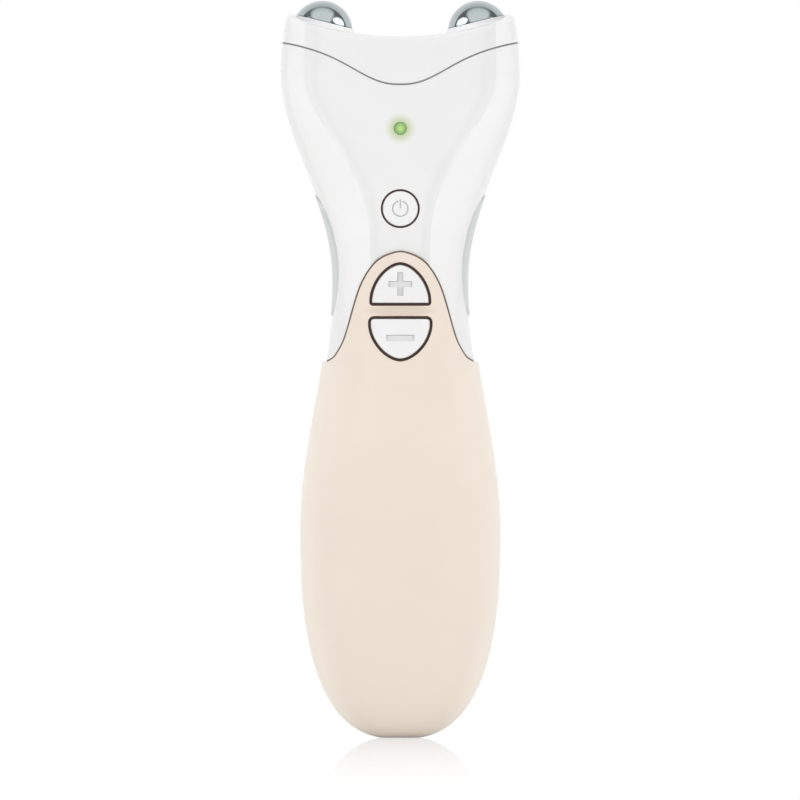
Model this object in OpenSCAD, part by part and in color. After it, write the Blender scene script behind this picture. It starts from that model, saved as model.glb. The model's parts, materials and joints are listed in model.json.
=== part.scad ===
/* [Handle] */
// Widest width of the soft grip
grip_w = 46.2; // [44:0.1:50]
// Height of the widest point of the grip above the butt
belly_z = 48.4; // [44:0.1:54]
// Depth of the grip in front of the parting plane, at its widest
belly_front_d = 15.2; // [14.4:0.1:17]
// Depth of the grip behind the parting plane, at its widest
belly_back_d = 14.5; // [14.2:0.1:16]
// Height at which the grip meets the white housing
grip_top_z = 86.6; // [84:0.1:90]
// Height of the grip's front tongue above that line
tongue_h = 25.4; // [24.5:0.1:28]
// How far the grip stands proud of the white housing at its sides
side_proud = 0.95; // [0.6:0.05:1.4]
// How far the grip stands proud of the white housing at its front and back
face_proud = 0.35; // [0.2:0.05:0.6]
// Width of the flat spot on the butt
butt_flat_w = 9; // [6:0.5:14]

/* [Head] */
// Width of the waist
waist_w = 30.8; // [29:0.1:34]
// Height of the waist
waist_z = 105; // [102:0.5:108]
// Widest width of the head
head_w = 55.2; // [53:0.1:60]
// Height of the widest point of the head
shoulder_z = 153; // [151:0.5:156]
// Height of the lowest point of the head's hollowed top
head_top_z = 161.7; // [160.5:0.1:165]
// Radius of the hollow across the head's top
head_top_r = 75; // [65:1:100]
// Depth of the flat front face in front of the parting plane
face_d = 12; // [11.5:0.1:14]
// Depth of the waist behind the parting plane
waist_back_d = 11.5; // [10.5:0.1:13]
// Depth of the head behind the parting plane
head_back_d = 14.5; // [13:0.1:16]
// Rounding of the head's top edges
top_edge_r = 1.4; // [0.8:0.1:2]
// Wall thickness of all housings
wall = 2; // [1.6:0.1:2.4]
// Gap between neighbouring housings
seam = 0.3; // [0.2:0.05:0.5]

/* [Face panel] */
// Width of the sunk front panel across the head
panel_w = 44; // [40:0.1:46]
// Width of the sunk front panel at the neck
panel_neck_w = 13.8; // [12.6:0.1:15]
// How far the panel is sunk below its frame
panel_sink = 1.3; // [0.6:0.05:1.4]
// Lowest height of the seam between head cap and housings
cap_seam_z = 150.65; // [149:0.05:152]
// Rise of that seam from its middle to the sides
cap_seam_rise = 9.6; // [8:0.1:10]

/* [Electrodes] */
// Diameter of the metal domes
dome_d = 14; // [12.5:0.1:14.5]
// Distance of a dome's axis from the head's side, across the hollow top
dome_inset = 9.8; // [9:0.1:11]
// Height of dome that shows above its collar
dome_reveal = 4.9; // [4:0.1:5.5]
// Height of the collar above the head's top
collar_h = 1.3; // [0.8:0.1:1.8]
// Outer diameter of the collar
collar_d = 15.3; // [15.1:0.1:15.8]

/* [Buttons] */
// Diameter of the power button's opening
power_hole_d = 9; // [8:0.1:9.4]
// Height of the power button
power_z = 122; // [119:0.5:126]
// Half width of the plus button's opening
plus_a = 7.15; // [6.5:0.05:7.6]
// Height of the plus button's arch above its foot
plus_b = 8.8; // [8:0.1:9.2]
// Height of the plus button's foot line
plus_z = 99.6; // [99.2:0.1:100.2]
// Half width of the minus button's opening
minus_a = 7.45; // [6.8:0.05:7.8]
// Depth of the minus button's arch below its shoulders
minus_b = 8.5; // [7.6:0.1:8.6]
// Height of the minus button's top line
minus_z = 97.25; // [96.6:0.05:97.6]
// Width of the dark seal around the plus and minus buttons
seal_w = 0.52; // [0.3:0.02:0.7]
// Width of the dark seal around the power button
power_seal_w = 0.36; // [0.24:0.02:0.5]
// Travel of the buttons
button_travel = 0.35; // [0.2:0.05:0.45]
// Height of the indicator light
led_z = 140.5; // [137:0.5:143]
// Diameter of the indicator's lens
led_d = 2.8; // [2:0.1:3.4]

/* [Side inlays] */
// Height of the inlay's lower tip
inlay_low_z = 97.4; // [95:0.1:100]
// Length of the inlay
inlay_l = 27.8; // [22:0.1:32]
// Width of the inlay at its middle
inlay_w = 13.4; // [10:0.1:17]
// Thickness of the inlay
inlay_t = 2; // [1.4:0.1:2.4]
// How far the inlay stands proud of the housings
inlay_proud = 0.3; // [0.1:0.05:0.5]
// Gap between the inlay and the housings
inlay_seam = 0.12; // [0.05:0.01:0.2]

/* [Battery bay] */
// Width of the battery cover
cover_w = 27; // [26:0.1:29]
// Height of the battery cover's lower edge
cover_low_z = 21.5; // [20:0.5:23]
// Height of the battery cover's upper edge
cover_top_z = 82; // [81:0.5:83.5]
// Thickness of the battery cover
cover_t = 1.4; // [1.2:0.1:1.8]
// Diameter of a battery
cell_d = 10.5; // [10:0.1:10.6]
// Length of a battery
cell_l = 44.5; // [43:0.1:45.5]
// Height of the battery bay's floor
bay_z = 24.6; // [23.6:0.1:25.4]

/* [Circuit board] */
// Width of the circuit board
board_w = 21; // [19:0.5:22]
// Height of the circuit board's lower edge
board_low_z = 82.6; // [81.5:0.1:83.4]
// Height of the circuit board's upper edge
board_top_z = 146; // [144.5:0.5:148]
// Thickness of the circuit board
board_t = 1.6; // [1:0.1:2]
// Distance of the board's front from the parting plane
board_d = 5; // [4.6:0.1:5.2]

/* [Hidden] */
$fn = 48;
slip = 0.05;          // clearance of a piece that turns or slides in another
fit = 0.1;            // clearance of a piece that is seated in another
grip_n = 2.4;         // exponent of the rounded flanks of the grip's cross-section
head_n = 5;           // exponent of the squarer flanks of the head's cross-section
head_n_z = 128;       // height at which the flanks are as square as the head's
butt_n = 2.6;         // exponent of the rounded butt
flank_s = 0.45;       // share of a half section's columns that lies on its flat middle
neck_z = 112;         // height at which the face panel starts to widen
throat_z = 153;       // height at which the face panel is at full width
face_foot_z = 86;     // height above which the front face is flat
back_flat_z = 136;    // height above which the head's back is flat
belly_flat = 9;       // half width of the flat middle of the grip's section
head_taper = 0.007;   // how fast the head narrows above its shoulders
panel_soft = 5.5;     // width of the panel's sloping edge
gasket_t = 1;         // depth of the gaskets in the seams
gasket_drop = 0.35;   // how far a gasket lies below the surface
corner_s = 0.9;       // where the grip's top corner starts, across a half section

cap_wall = 2.4;
belly_hw = grip_w / 2 - side_proud;
waist_hw = waist_w / 2;
head_hw = head_w / 2;
dome_r = dome_d / 2;
dome_spacing = head_w - 2 * dome_inset;
dome_tilt = asin(dome_spacing / 2 / head_top_r);
dome_drop = dome_r - dome_reveal;        // the dome's centre lies this far below its seat
dome_z = collar_h - dome_drop;           // centre of the dome in its own tilted frame
collar_r = collar_d / 2;
tongue_z = face_d + face_proud;          // depth of the tongue's flat front
plus_mid_z = plus_z + plus_b / 2;
minus_mid_z = minus_z - minus_b / 2;
switch_h = 2;
switch_w = 6;
plunger_h = 0.8;
plunger_r = 1.7;
post_y = -board_d - switch_h - plunger_h;  // where a button's post meets its switch
cell_x = cell_d / 2 + 0.6;
spring_h = 4.4;
plate_t = 0.4;
plate_w = 7.2;
spring_r = 3.6;       // radius of a battery spring at its wide end
spring_tip_r = 2.2;
spring_turns = 3;
spring_wire_r = 0.3;
bay_l = cell_l + spring_h + plate_t;
tray_wall = 1.4;
tray_w = 2 * (cell_x + cell_d / 2 + tray_wall + 0.3);
cell_y = belly_back_d - cover_t - cell_d / 2 - 1.25;
tray_y = cell_y - cell_d / 2 - 0.2 - tray_wall;
flange_h = 6;
flange_y = 5;
tray_screw_x = 7.5;
tray_screw_z = bay_z + bay_l + tray_wall + flange_h / 2;
ledge_w = 1.2;        // width of the ledge under the battery cover
grip_screw_z = 13;
case_screw_x = 15;
case_screw_z = 144;
board_screw_x = 8.2;
board_screw_z = 132;
board_foot_z = board_low_z + 2.2;
screw_r = 0.9;
head_r = 2;
head_h = 1.4;
case_screw_l = 8;
board_screw_l = 4.6;
well_r = 2.5;
well_wall = 1.3;      // wall of the wells that hold the case screws' heads
well_floor = 2.2;     // depth of those wells' floors behind the parting plane
post_wall = 1.2;      // wall of a post around its screw
post_r = screw_r + post_wall;
case_post_r = screw_r + 1.7;
key_post_r = 1.6;     // a button's post
key_crown = 0.45;     // how far a button's crown stands proud of the grip
power_crown = 0.3;    // how far the power button's crown stands proud of the panel
switch_floor = 0.3;
sign_depth = 0.05;    // depth of the signs on the buttons below the grip's face
sign_line = 1.4;      // line width of the plus and minus signs
plus_sign_l = 5.5;    // length of the plus sign's arms
plus_sign_up = 0.6;   // how far the plus sign lies above the middle of its button
minus_sign_l = 6.5;
minus_sign_down = 0.8;

// Outline of the grip's tongue, from its tip down to the side of the housing:
// [share of the housing's half width, share of the tongue's height]. The first CREASE steps
// cross the flat middle of the section and the others cross its flank.
TONGUE = [[0, 1], [0.117, 0.984], [0.229, 0.953], [0.323, 0.909], [0.399, 0.852], [0.472, 0.777],
          [0.551, 0.664], [0.63, 0.497], [0.707, 0.312], [0.774, 0.18], [0.874, 0.063],
          [0.938, 0.025], [0.98, 0.01], [1, 0.006]];
CREASE = 4;

// Columns of half a section, from its middle to its side, in the section's own measure
PANEL_COLUMNS = [0, 0.35, 0.64, 0.82, 0.93];
FLANK_STEPS = len(TONGUE) - 1 - CREASE;
HALF = concat([for (p = PANEL_COLUMNS) p * flank_s],
              [for (i = [0:FLANK_STEPS]) flank_s + (1 - flank_s) * i / FLANK_STEPS]);
COLUMNS = concat([for (i = [len(HALF) - 1:-1:1]) -HALF[i]], HALF);
LAST = len(COLUMNS) - 1;

// ---------- the body's form ----------

function ease(t) = t <= 0 ? 0 : t >= 1 ? 1 : t * t * (3 - 2 * t);
function ramp(z, z0, a, z1, b, bias = 1) =
    a + (b - a) * ease(pow(max(0, min(1, (z - z0) / (z1 - z0))), bias));
function between(a, b, t) = a + (b - a) * t;

// Half width, front depth, back depth and half width of the flat middle, of the white housing
function half_w(z) = z < waist_z ? ramp(z, belly_z, belly_hw, waist_z, waist_hw)
    : z < shoulder_z ? ramp(z, waist_z, waist_hw, shoulder_z, head_hw, 1.1)
    : head_hw - head_taper * pow(z - shoulder_z, 2);
function front_d(z) = ramp(z, belly_z, belly_front_d - face_proud, face_foot_z, face_d);
function back_d(z) = z < waist_z
    ? ramp(z, belly_z, belly_back_d - face_proud, waist_z, waist_back_d)
    : ramp(z, waist_z, waist_back_d, back_flat_z, head_back_d);
function flat_w(z) = z < neck_z
    ? ramp(z, belly_z, belly_flat, waist_z, panel_neck_w / 2)
    : ramp(z, neck_z, panel_neck_w / 2, throat_z, panel_w / 2, 1.35);

// How far the rounded butt has opened at a height, for a surface offset outwards by skin
butt_open = pow(1 - pow(butt_flat_w / grip_w, butt_n), 1 / butt_n);
function butt(z, skin) = z >= belly_z ? 1
    : pow(max(0, 1 - pow(butt_open * (belly_z - z) / (belly_z - side_proud + skin), butt_n)),
          1 / butt_n);
function butt_z(skin) = side_proud - skin;

// Depth of the sunk panel at a place on the front: equally steep all along its crease
function sink(x, z) =
    let (soft_w = min(panel_soft, 0.5 * flat_w(z)),
         t = max(0, min(1, (flat_w(z) - abs(x)) / soft_w)))
    panel_sink * soft_w / panel_soft * ramp(z, waist_z, 0, neck_z + 2, 1) * (1 - pow(1 - t, 3));
// Depth of the face, sunk panel and all, at a place on it
function face_at(x, z) = front_d(z) - sink(x, z);

// A place across a half section: s runs from 0 in its middle to 1 at its side
function turn(s) = 90 * (s - flank_s) / (1 - flank_s);
function flank_n(z) = ramp(z, grip_top_z, grip_n, head_n_z, head_n);
function across(s, c, w, n) = s <= flank_s ? c * s / flank_s
    : c + (w - c) * pow(sin(turn(s)), 2 / n);
function drop(s, n) = s <= flank_s ? 1 : s >= 1 ? 0 : pow(cos(turn(s)), 2 / n);
function place(x, c, w, n) = x <= c ? flank_s * x / c
    : flank_s + (1 - flank_s) * asin(pow(min(1, (x - c) / (w - c)), n / 2)) / 90;

function section_x(s, z, side, skin) = let (e = butt(z, skin))
    sign(s) * across(abs(s), e * flat_w(z), e * (half_w(z) + side), flank_n(z));
function front_point(s, z, side, face, sunk = 0) =
    let (x = section_x(s, z, side, side))
    [x, -drop(abs(s), flank_n(z)) * butt(z, side) * (front_d(z) + face) + sunk * sink(x, z), z];
function back_point(s, z, side, face) =
    [section_x(s, z, side, side), drop(abs(s), flank_n(z)) * butt(z, side) * (back_d(z) + face), z];

// The seam below the head cap, and the hollow top, as heights over x
seam_bend = 0.545;    // share of the head's half width at which the seam is steepest
seam_n = 2.45;
function cap_seam(x) =
    let (u = pow(min(1, abs(x) / head_hw), seam_n), bend = pow(seam_bend, seam_n))
    cap_seam_z + cap_seam_rise * (1 + bend) * u / (u + bend);
function top_height(x) = head_top_z + head_top_r - sqrt(pow(head_top_r, 2) - x * x);
function head_x(s) = section_x(s, shoulder_z, 0, 0);

// The tongue's outline as a smooth curve through its points
function knot(points, i) = i < 0 ? [-points[-i][0], points[-i][1]]
    : i > len(points) - 1 ? 2 * points[len(points) - 1] - points[2 * len(points) - 2 - i]
    : points[i];
function curve(points, t) =
    let (i = min(floor(t), len(points) - 2), u = t - i,
         a = knot(points, i - 1), b = knot(points, i), c = knot(points, i + 1), d = knot(points, i + 2))
    (2 * b + (c - a) * u + (2 * a - 5 * b + 4 * c - d) * u * u + (3 * b - a - 3 * c + d) * u * u * u) / 2;

// The tongue's outline at a column, offset outwards: its place across the section and its height
function outline(t) = let (p = curve(TONGUE, t)) [p[0] * half_w(grip_top_z), p[1] * tongue_h];
function tongue_at(s, offset) =
    let (a = abs(s),
         t = a <= flank_s ? CREASE * a / flank_s : CREASE + FLANK_STEPS * (a - flank_s) / (1 - flank_s),
         p = outline(t), along = outline(t + 0.02) - outline(t - 0.02),
         out = offset / norm(along) * [-along[1], along[0]],
         z = grip_top_z + p[1] + (a >= 1 ? offset : out[1]),
         x = min(p[0] + out[0], half_w(z)))
    [sign(s) * (a >= 1 ? 1 : place(x, flat_w(z), half_w(z), flank_n(z))), z];

// The housings end a little above the grip's corner, and the grip's top edge dips down to it
lip = TONGUE[len(TONGUE) - 1][1] * tongue_h;
function corner(s) = ease((abs(s) - corner_s) / (1 - corner_s));
// Near its top the grip is proud of the housings by the same all round but for that corner
function grip_side(s, z) = between(face_proud, side_proud,
    between(1, corner(s), ramp(z, 60, 0, grip_top_z, 1)));

// ---------- solids from rows of points ----------

function flatten(rows) = [for (row = rows) for (p = row) p];

// Two triangles over the four corners of a cell, split along one diagonal or the other
function halves(a, b, c, d, left, flip) =
    [for (f = left ? [[a, b, d], [b, c, d]] : [[a, b, c], [a, c, d]])
        if (f[0] != f[1] && f[1] != f[2] && f[0] != f[2]) flip ? f : [f[2], f[1], f[0]]];

// Triangles over a grid of rows, whose first point has the given number: the split of the cells
// left of the middle mirrors that of those right of it
function grid_faces(rows, cols, first, flip) =
    [for (j = [0:rows - 2]) for (i = [0:cols - 2])
        let (a = first + j * cols + i)
        for (f = halves(a, a + 1, a + 1 + cols, a + cols, 2 * i < cols - 1, flip)) f];

// A strip of triangles between two lists of point numbers
function strip_faces(p, q, flip) =
    [for (i = [0:len(p) - 2])
        for (f = halves(p[i], p[i + 1], q[i + 1], q[i], 2 * i < len(p) - 1, flip)) f];

// A floor of triangles over a loop of point numbers
function fan_faces(p, flip) =
    [for (i = [1:len(p) - 2]) flip ? [p[0], p[i], p[i + 1]] : [p[i + 1], p[i], p[0]]];

function row_ids(first, cols, j) = [for (i = [0:cols - 1]) first + j * cols + i];
function col_ids(first, cols, rows, i) = [for (j = [0:rows - 1]) first + j * cols + i];

// A wall between an outer and an inner grid of rows, closed along all four edges
module sheet(outer, inner, flip = false) {
    rows = len(outer);
    cols = len(outer[0]);
    n = rows * cols;
    polyhedron(points = concat(flatten(outer), flatten(inner)), faces = concat(
        grid_faces(rows, cols, 0, flip),
        grid_faces(rows, cols, n, !flip),
        strip_faces(row_ids(n, cols, 0), row_ids(0, cols, 0), flip),
        strip_faces(row_ids(0, cols, rows - 1), row_ids(n, cols, rows - 1), flip),
        strip_faces(col_ids(0, cols, rows, 0), col_ids(n, cols, rows, 0), flip),
        strip_faces(col_ids(n, cols, rows, cols - 1), col_ids(0, cols, rows, cols - 1), flip)));
}

// Half a hollow handle: as a sheet, with its lowest rows closed by flat floors
module half_handle(outer, inner, flip = false) {
    rows = len(outer);
    cols = len(outer[0]);
    n = rows * cols;
    polyhedron(points = concat(flatten(outer), flatten(inner)), faces = concat(
        grid_faces(rows, cols, 0, flip),
        grid_faces(rows, cols, n, !flip),
        fan_faces(row_ids(0, cols, 0), !flip),
        fan_faces(row_ids(n, cols, 0), flip),
        strip_faces([cols - 1, 0], [n + cols - 1, n], flip),
        strip_faces(row_ids(0, cols, rows - 1), row_ids(n, cols, rows - 1), flip),
        strip_faces(col_ids(0, cols, rows, 0), col_ids(n, cols, rows, 0), flip),
        strip_faces(col_ids(n, cols, rows, cols - 1), col_ids(0, cols, rows, cols - 1), flip)));
}

// A cap: rings of points all the way round, closed across their last row from front to back
module cap_solid(outer, inner) {
    cols = len(outer[0]);
    half = cols / 2;
    n = len(outer) * cols;
    function ring(first, j) = [for (i = [0:cols]) first + j * cols + i % cols];
    function ring_walls(first, rows, flip) =
        [for (j = [0:rows - 2]) for (f = strip_faces(ring(first, j), ring(first, j + 1), flip)) f];
    function lid(first, j, flip) = strip_faces(
        [for (i = [0:half]) first + j * cols + i],
        [for (i = [0:half]) first + j * cols + (cols - i) % cols], flip);
    polyhedron(points = concat(flatten(outer), flatten(inner)), faces = concat(
        ring_walls(0, len(outer), false),
        ring_walls(n, len(inner), true),
        lid(0, len(outer) - 1, false),
        lid(n, len(inner) - 1, true),
        strip_faces(ring(0, 0), ring(n, 0), true)));
}

// A round tube of few sides along a Bezier curve of four points
module wire(p, r, sides = 6, steps = 9) {
    function at(t) = pow(1 - t, 3) * p[0] + 3 * t * pow(1 - t, 2) * p[1]
        + 3 * t * t * (1 - t) * p[2] + pow(t, 3) * p[3];
    function unit(v) = v / norm(v);
    function ring(t) =
        let (d = unit(at(min(1, t + 0.01)) - at(max(0, t - 0.01))),
             u = unit(cross(d, [0.3, 1, 0.2])), v = cross(d, u))
        [for (k = [0:sides - 1]) at(t) + r * (cos(360 * k / sides) * u + sin(360 * k / sides) * v)];
    rows = [for (j = [0:steps]) ring(j / steps)];
    function ids(j) = [for (k = [0:sides]) j * sides + k % sides];
    polyhedron(points = flatten(rows), faces = concat(
        [for (j = [0:steps - 1]) for (f = strip_faces(ids(j), ids(j + 1), false)) f],
        [[for (k = [0:sides - 1]) k]],
        [[for (k = [sides - 1:-1:0]) steps * sides + k]]));
}

// ---------- housings ----------

// Rows of a housing's front, from the tongue's outline up to the seam below the cap
HOUSING_ROWS = 16;
function front_rows(side, face) =
    [for (j = [0:HOUSING_ROWS]) [for (s = COLUMNS)
        let (low = tongue_at(s, seam), high = cap_seam(head_x(s)) - seam / 2,
             t = j / HOUSING_ROWS)
        front_point(between(low[0], s, t), between(low[1], high, t), side, face, 1)]];

BACK_ROWS = 13;
function back_rows(side, face) =
    [for (j = [0:BACK_ROWS]) [for (s = COLUMNS)
        let (high = cap_seam(head_x(s)) - seam / 2)
        back_point(s, between(grip_top_z + lip + seam, high, j / BACK_ROWS), side, face)]];

// A round post, well or hole along Y, from one depth to another
module rod(x, z, from, to, r) {
    translate([x, min(from, to), z])
        rotate([-90, 0, 0])
            cylinder(h = abs(to - from), r = r);
}

module pair() {
    children();
    mirror([1, 0, 0])
        children();
}

module front_shell() color("white") difference() {
    union() {
        sheet(front_rows(0, 0), front_rows(-wall, -wall));
        pair() {
            rod(case_screw_x, case_screw_z, -face_d + 1.2, -0.2, case_post_r);
            rod(board_screw_x, board_screw_z, -face_at(board_screw_x, board_screw_z) + 0.8, -board_d,
                post_r);
        }
    }
    pair() {
        rod(case_screw_x, case_screw_z, -8, 0, screw_r + slip);
        rod(board_screw_x, board_screw_z, -9, 0, screw_r + slip);
    }
    rod(0, power_z, -face_d - 1, -5, power_hole_d / 2);
    rod(0, led_z, -face_d - 1, -5, led_d / 2 + fit);
    inlay_windows();
}

module rear_shell() color("white") difference() {
    union() {
        sheet(back_rows(0, 0), back_rows(-wall, -wall), true);
        pair()
            rod(case_screw_x, case_screw_z, 0.2, head_back_d - 1, well_r + well_wall);
    }
    pair() {
        rod(case_screw_x, case_screw_z, well_floor, head_back_d + 1, well_r);
        rod(case_screw_x, case_screw_z, -1, 3, screw_r + fit);
    }
    inlay_windows();
}

// The cap's rings run from the seam up its wall, round its top edge and in to its flat lip
RING = concat(COLUMNS, [for (i = [1:LAST - 1]) COLUMNS[LAST - i]]);
function ring_point(i, z, side, sunk) = i <= len(RING) / 2
    ? front_point(RING[i], z, side, side, sunk) : back_point(RING[i], z, side, side);
function cap_ring(side, sunk, drop_z, t) =
    [for (i = [0:len(RING) - 1])
        let (x = head_x(RING[i]), low = cap_seam(x) + seam / 2,
             z = between(low, top_height(x) - drop_z, t))
        ring_point(i, z, side, sunk)];
CAP_STEPS = 3;
ROUND_STEPS = 3;
function cap_rows() = concat(
    [for (j = [0:CAP_STEPS]) cap_ring(0, 1, top_edge_r, j / CAP_STEPS)],
    [for (j = [1:ROUND_STEPS]) let (a = 90 * j / ROUND_STEPS)
        cap_ring(-top_edge_r * (1 - cos(a)), 1, top_edge_r * (1 - sin(a)), 1)]);

module head_cap() color("white") difference() {
    cap_solid(cap_rows(), [for (j = [0:2]) cap_ring(-wall, 1, cap_wall, j / 2)]);
    at_domes() translate([0, 0, shoulder_low - cap_wall])
        cylinder(h = 2 * cap_wall - shoulder_low, r = collar_r + slip);
}

// A flat hoop between two pairs of rings, each a loop of as many points
module hoop(outer_low, outer_high, inner_low, inner_high) {
    cols = len(outer_low);
    function ids(j) = [for (i = [0:cols]) j * cols + i % cols];
    polyhedron(points = concat(outer_low, outer_high, inner_low, inner_high), faces = concat(
        strip_faces(ids(0), ids(1), false), strip_faces(ids(2), ids(3), true),
        strip_faces(ids(0), ids(2), true), strip_faces(ids(1), ids(3), false)));
}

function cap_gasket_ring(side, lift) =
    [for (i = [0:len(RING) - 1])
        ring_point(i, cap_seam(head_x(RING[i])) + lift * seam / 8, side, 1)];
module cap_gasket() color("dimgray") hoop(
    cap_gasket_ring(-gasket_drop, -1), cap_gasket_ring(-gasket_drop, 1),
    cap_gasket_ring(-gasket_drop - gasket_t, -1), cap_gasket_ring(-gasket_drop - gasket_t, 1));

// The grip's gasket follows the tongue in front and runs level behind
function grip_gasket_ring(side, rise) =
    [for (i = [0:len(RING) - 1]) let (p = tongue_at(RING[i], rise)) i <= LAST
        ? front_point(p[0], p[1], side, side) : back_point(RING[i], grip_top_z + lip + rise, side, side)];
module grip_gasket() color("saddlebrown") hoop(
    grip_gasket_ring(-gasket_drop, slip), grip_gasket_ring(-gasket_drop, seam - slip),
    grip_gasket_ring(-gasket_drop - gasket_t, slip),
    grip_gasket_ring(-gasket_drop - gasket_t, seam - slip));

// ---------- grip ----------

GRIP_ROWS = 22;
// Rows crowd towards the rounded butt
function grip_rows_z(j) = 1 - cos(90 * j / GRIP_ROWS);
function front_grip_rows(skin) =
    [for (j = [0:GRIP_ROWS]) [for (column = COLUMNS)
        let (high = tongue_at(column, 0), t = grip_rows_z(j),
             s = between(column, high[0], t),
             z = between(butt_z(side_proud + skin), high[1] - lip * corner(column), t))
        front_point(s, z, grip_side(s, z) + skin, face_proud + skin, 0)]];
function back_grip_rows(skin) =
    [for (j = [0:GRIP_ROWS]) [for (s = COLUMNS)
        let (high_z = grip_top_z + lip * (1 - corner(s)),
             z = between(butt_z(side_proud + skin), high_z, grip_rows_z(j)))
        back_point(s, z, side_proud + skin, face_proud + skin)]];

module front_grip() color("bisque") difference() {
    union() {
        half_handle(front_grip_rows(0), front_grip_rows(-wall));
        pair()
            rod(tray_screw_x, tray_screw_z, -front_d(tray_screw_z) + 1, flange_y - fit, post_r);
        rod(0, board_foot_z, -tongue_z + 1, -board_d, post_r);
        rod(0, grip_screw_z, -9.8, -0.2, case_post_r);
    }
    rod(0, grip_screw_z, -8, 0, screw_r + slip);
    pair()
        rod(tray_screw_x, tray_screw_z, -5, 8, screw_r + slip);
    rod(0, board_foot_z, -9.5, 0, screw_r + slip);
    opening(-tongue_z - 1, tongue_z - 5) plus_outline(0);
    opening(-tongue_z - 1, tongue_z - 5) minus_outline(0);
}

module rear_grip() color("bisque") difference() {
    union() {
        half_handle(back_grip_rows(0), back_grip_rows(-wall), true);
        rod(0, grip_screw_z, 0.2, 9.8, well_r + well_wall);
    }
    // the cover's opening, with a ledge all round that the cover lies on
    cover_prism(ledge_w, 3, belly_back_d + 2);
    intersection() {
        sheet(cover_rows(2), cover_rows(face_proud - cover_t - slip), true);
        cover_prism(0, 4, belly_back_d + 2);
    }
    rod(0, grip_screw_z, well_floor, belly_back_d, well_r);
    rod(0, grip_screw_z, -1, 3, screw_r + fit);
}

// A rounded rectangle the size of the battery cover, drawn in by a margin, between two depths
module cover_prism(margin, from, to) {
    h = cover_top_z - cover_low_z - 2 * margin;
    w = cover_w - 2 * margin;
    r = 4;
    translate([0, to, cover_low_z + margin])
        rotate([90, 0, 0])
            linear_extrude(to - from)
                rounded(w, h, r);
}

module rounded(w, h, r) {
    translate([-w / 2 + r, 0]) square([w - 2 * r, h]);
    translate([-w / 2, r]) square([w, h - 2 * r]);
    for (x = [-w / 2 + r, w / 2 - r], y = [r, h - r])
        translate([x, y]) circle(r);
}

COVER_ROWS = 10;
COVER_STEPS = [for (i = [-6:6]) i / 6];
function cover_rows(face) =
    [for (j = [0:COVER_ROWS]) [for (i = COVER_STEPS)
        let (z = between(cover_low_z - 1, cover_top_z + 1, j / COVER_ROWS), e = butt(z, side_proud),
             s = place(abs(i) * (cover_w / 2 + 1), e * flat_w(z), e * (half_w(z) + side_proud),
                       flank_n(z)))
        back_point(sign(i) * s, z, side_proud, face)]];

module battery_cover() color("bisque") {
    difference() {
        intersection() {
            sheet(cover_rows(face_proud), cover_rows(face_proud - cover_t), true);
            cover_prism(seam, 4, belly_back_d + 2);
        }
        // thumb notch at the upper edge
        translate([0, cover_surface(cover_top_z) + 7.4, cover_top_z - 3])
            rotate([0, 90, 0])
                cylinder(h = 9, r = 8, center = true);
    }
    // the rim that locates the cover inside its ledge
    difference() {
        intersection() {
            cover_prism(ledge_w + fit, 10.2, belly_back_d + 2);
            sheet(cover_rows(face_proud - cover_t + 0.4), cover_rows(face_proud - cover_t - 1.6), true);
        }
        cover_prism(ledge_w + fit + 0.8, 9, belly_back_d + 3);
    }
    for (z = [1:3])
        translate([0, cover_surface(cover_top_z - 6 - 2.4 * z) - 0.35, cover_top_z - 6 - 2.4 * z])
            rotate([0, 90, 0])
                cylinder(h = 9, r = 0.75, center = true);
}
function cover_surface(z) = back_d(z) + face_proud;

// ---------- side inlays ----------

INLAY_ROWS = 10;
INLAY_COLUMNS = 6;
// The inlay's half width over its length is that of a leaf with two blunt tips
function inlay_half(t) = inlay_w / 2 * (1 - pow(abs(2 * t - 1), 2.2)) + 0.15;
function inlay_point(t, u, skin) =
    let (z = inlay_low_z + inlay_l * t, y = u * inlay_half(t), d = y < 0 ? front_d(z) : back_d(z),
         n = flank_n(z), a = pow(1 - pow(min(1, abs(y) / d), n), 1 / n), c = flat_w(z))
    [c + (half_w(z) - c) * a + skin, y, z];
function inlay_rows(skin) =
    [for (j = [0:INLAY_ROWS]) [for (i = [0:INLAY_COLUMNS])
        inlay_point(j / INLAY_ROWS, 2 * i / INLAY_COLUMNS - 1, skin)]];
module right_side_inlay() color("silver") sheet(inlay_rows(inlay_proud), inlay_rows(inlay_proud - inlay_t));
module left_side_inlay() mirror([1, 0, 0]) right_side_inlay();

// The windows that the housings leave for the inlays, with a seam all round
module inlay_windows() {
    leaf = [for (j = [0:INLAY_ROWS]) let (t = j / INLAY_ROWS, tip = abs(2 * t - 1) == 1 ? 2 * t - 1 : 0)
        [inlay_half(t) + inlay_seam, inlay_low_z + inlay_l * t + tip * 2 * inlay_seam]];
    pair()
        translate([head_hw, 0, 0])
            rotate([90, 0, -90])
                linear_extrude(head_hw - 8)
                    polygon(concat(leaf, [for (j = [INLAY_ROWS:-1:0]) [-leaf[j][0], leaf[j][1]]]));
}

// ---------- electrodes ----------

// The right dome's own frame: its axis along Z, the head's hollow top at height 0
module at_dome() translate([0, 0, head_top_z + head_top_r])
    rotate([0, -dome_tilt, 0])
        translate([0, 0, -head_top_r])
            children();
module at_domes() pair() at_dome() children();

stem_r = 2;
rim_r = 6.95;         // outer radius of a collar's rim
carrier_r = 6.6;      // largest radius of the carrier's bosses
carrier_foot_r = 5;
shoulder_r = 4.6;
shoulder_low = -5.8;
carrier_low = -9;
tag_t = 0.6;
nut_h = 2.2;

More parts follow.
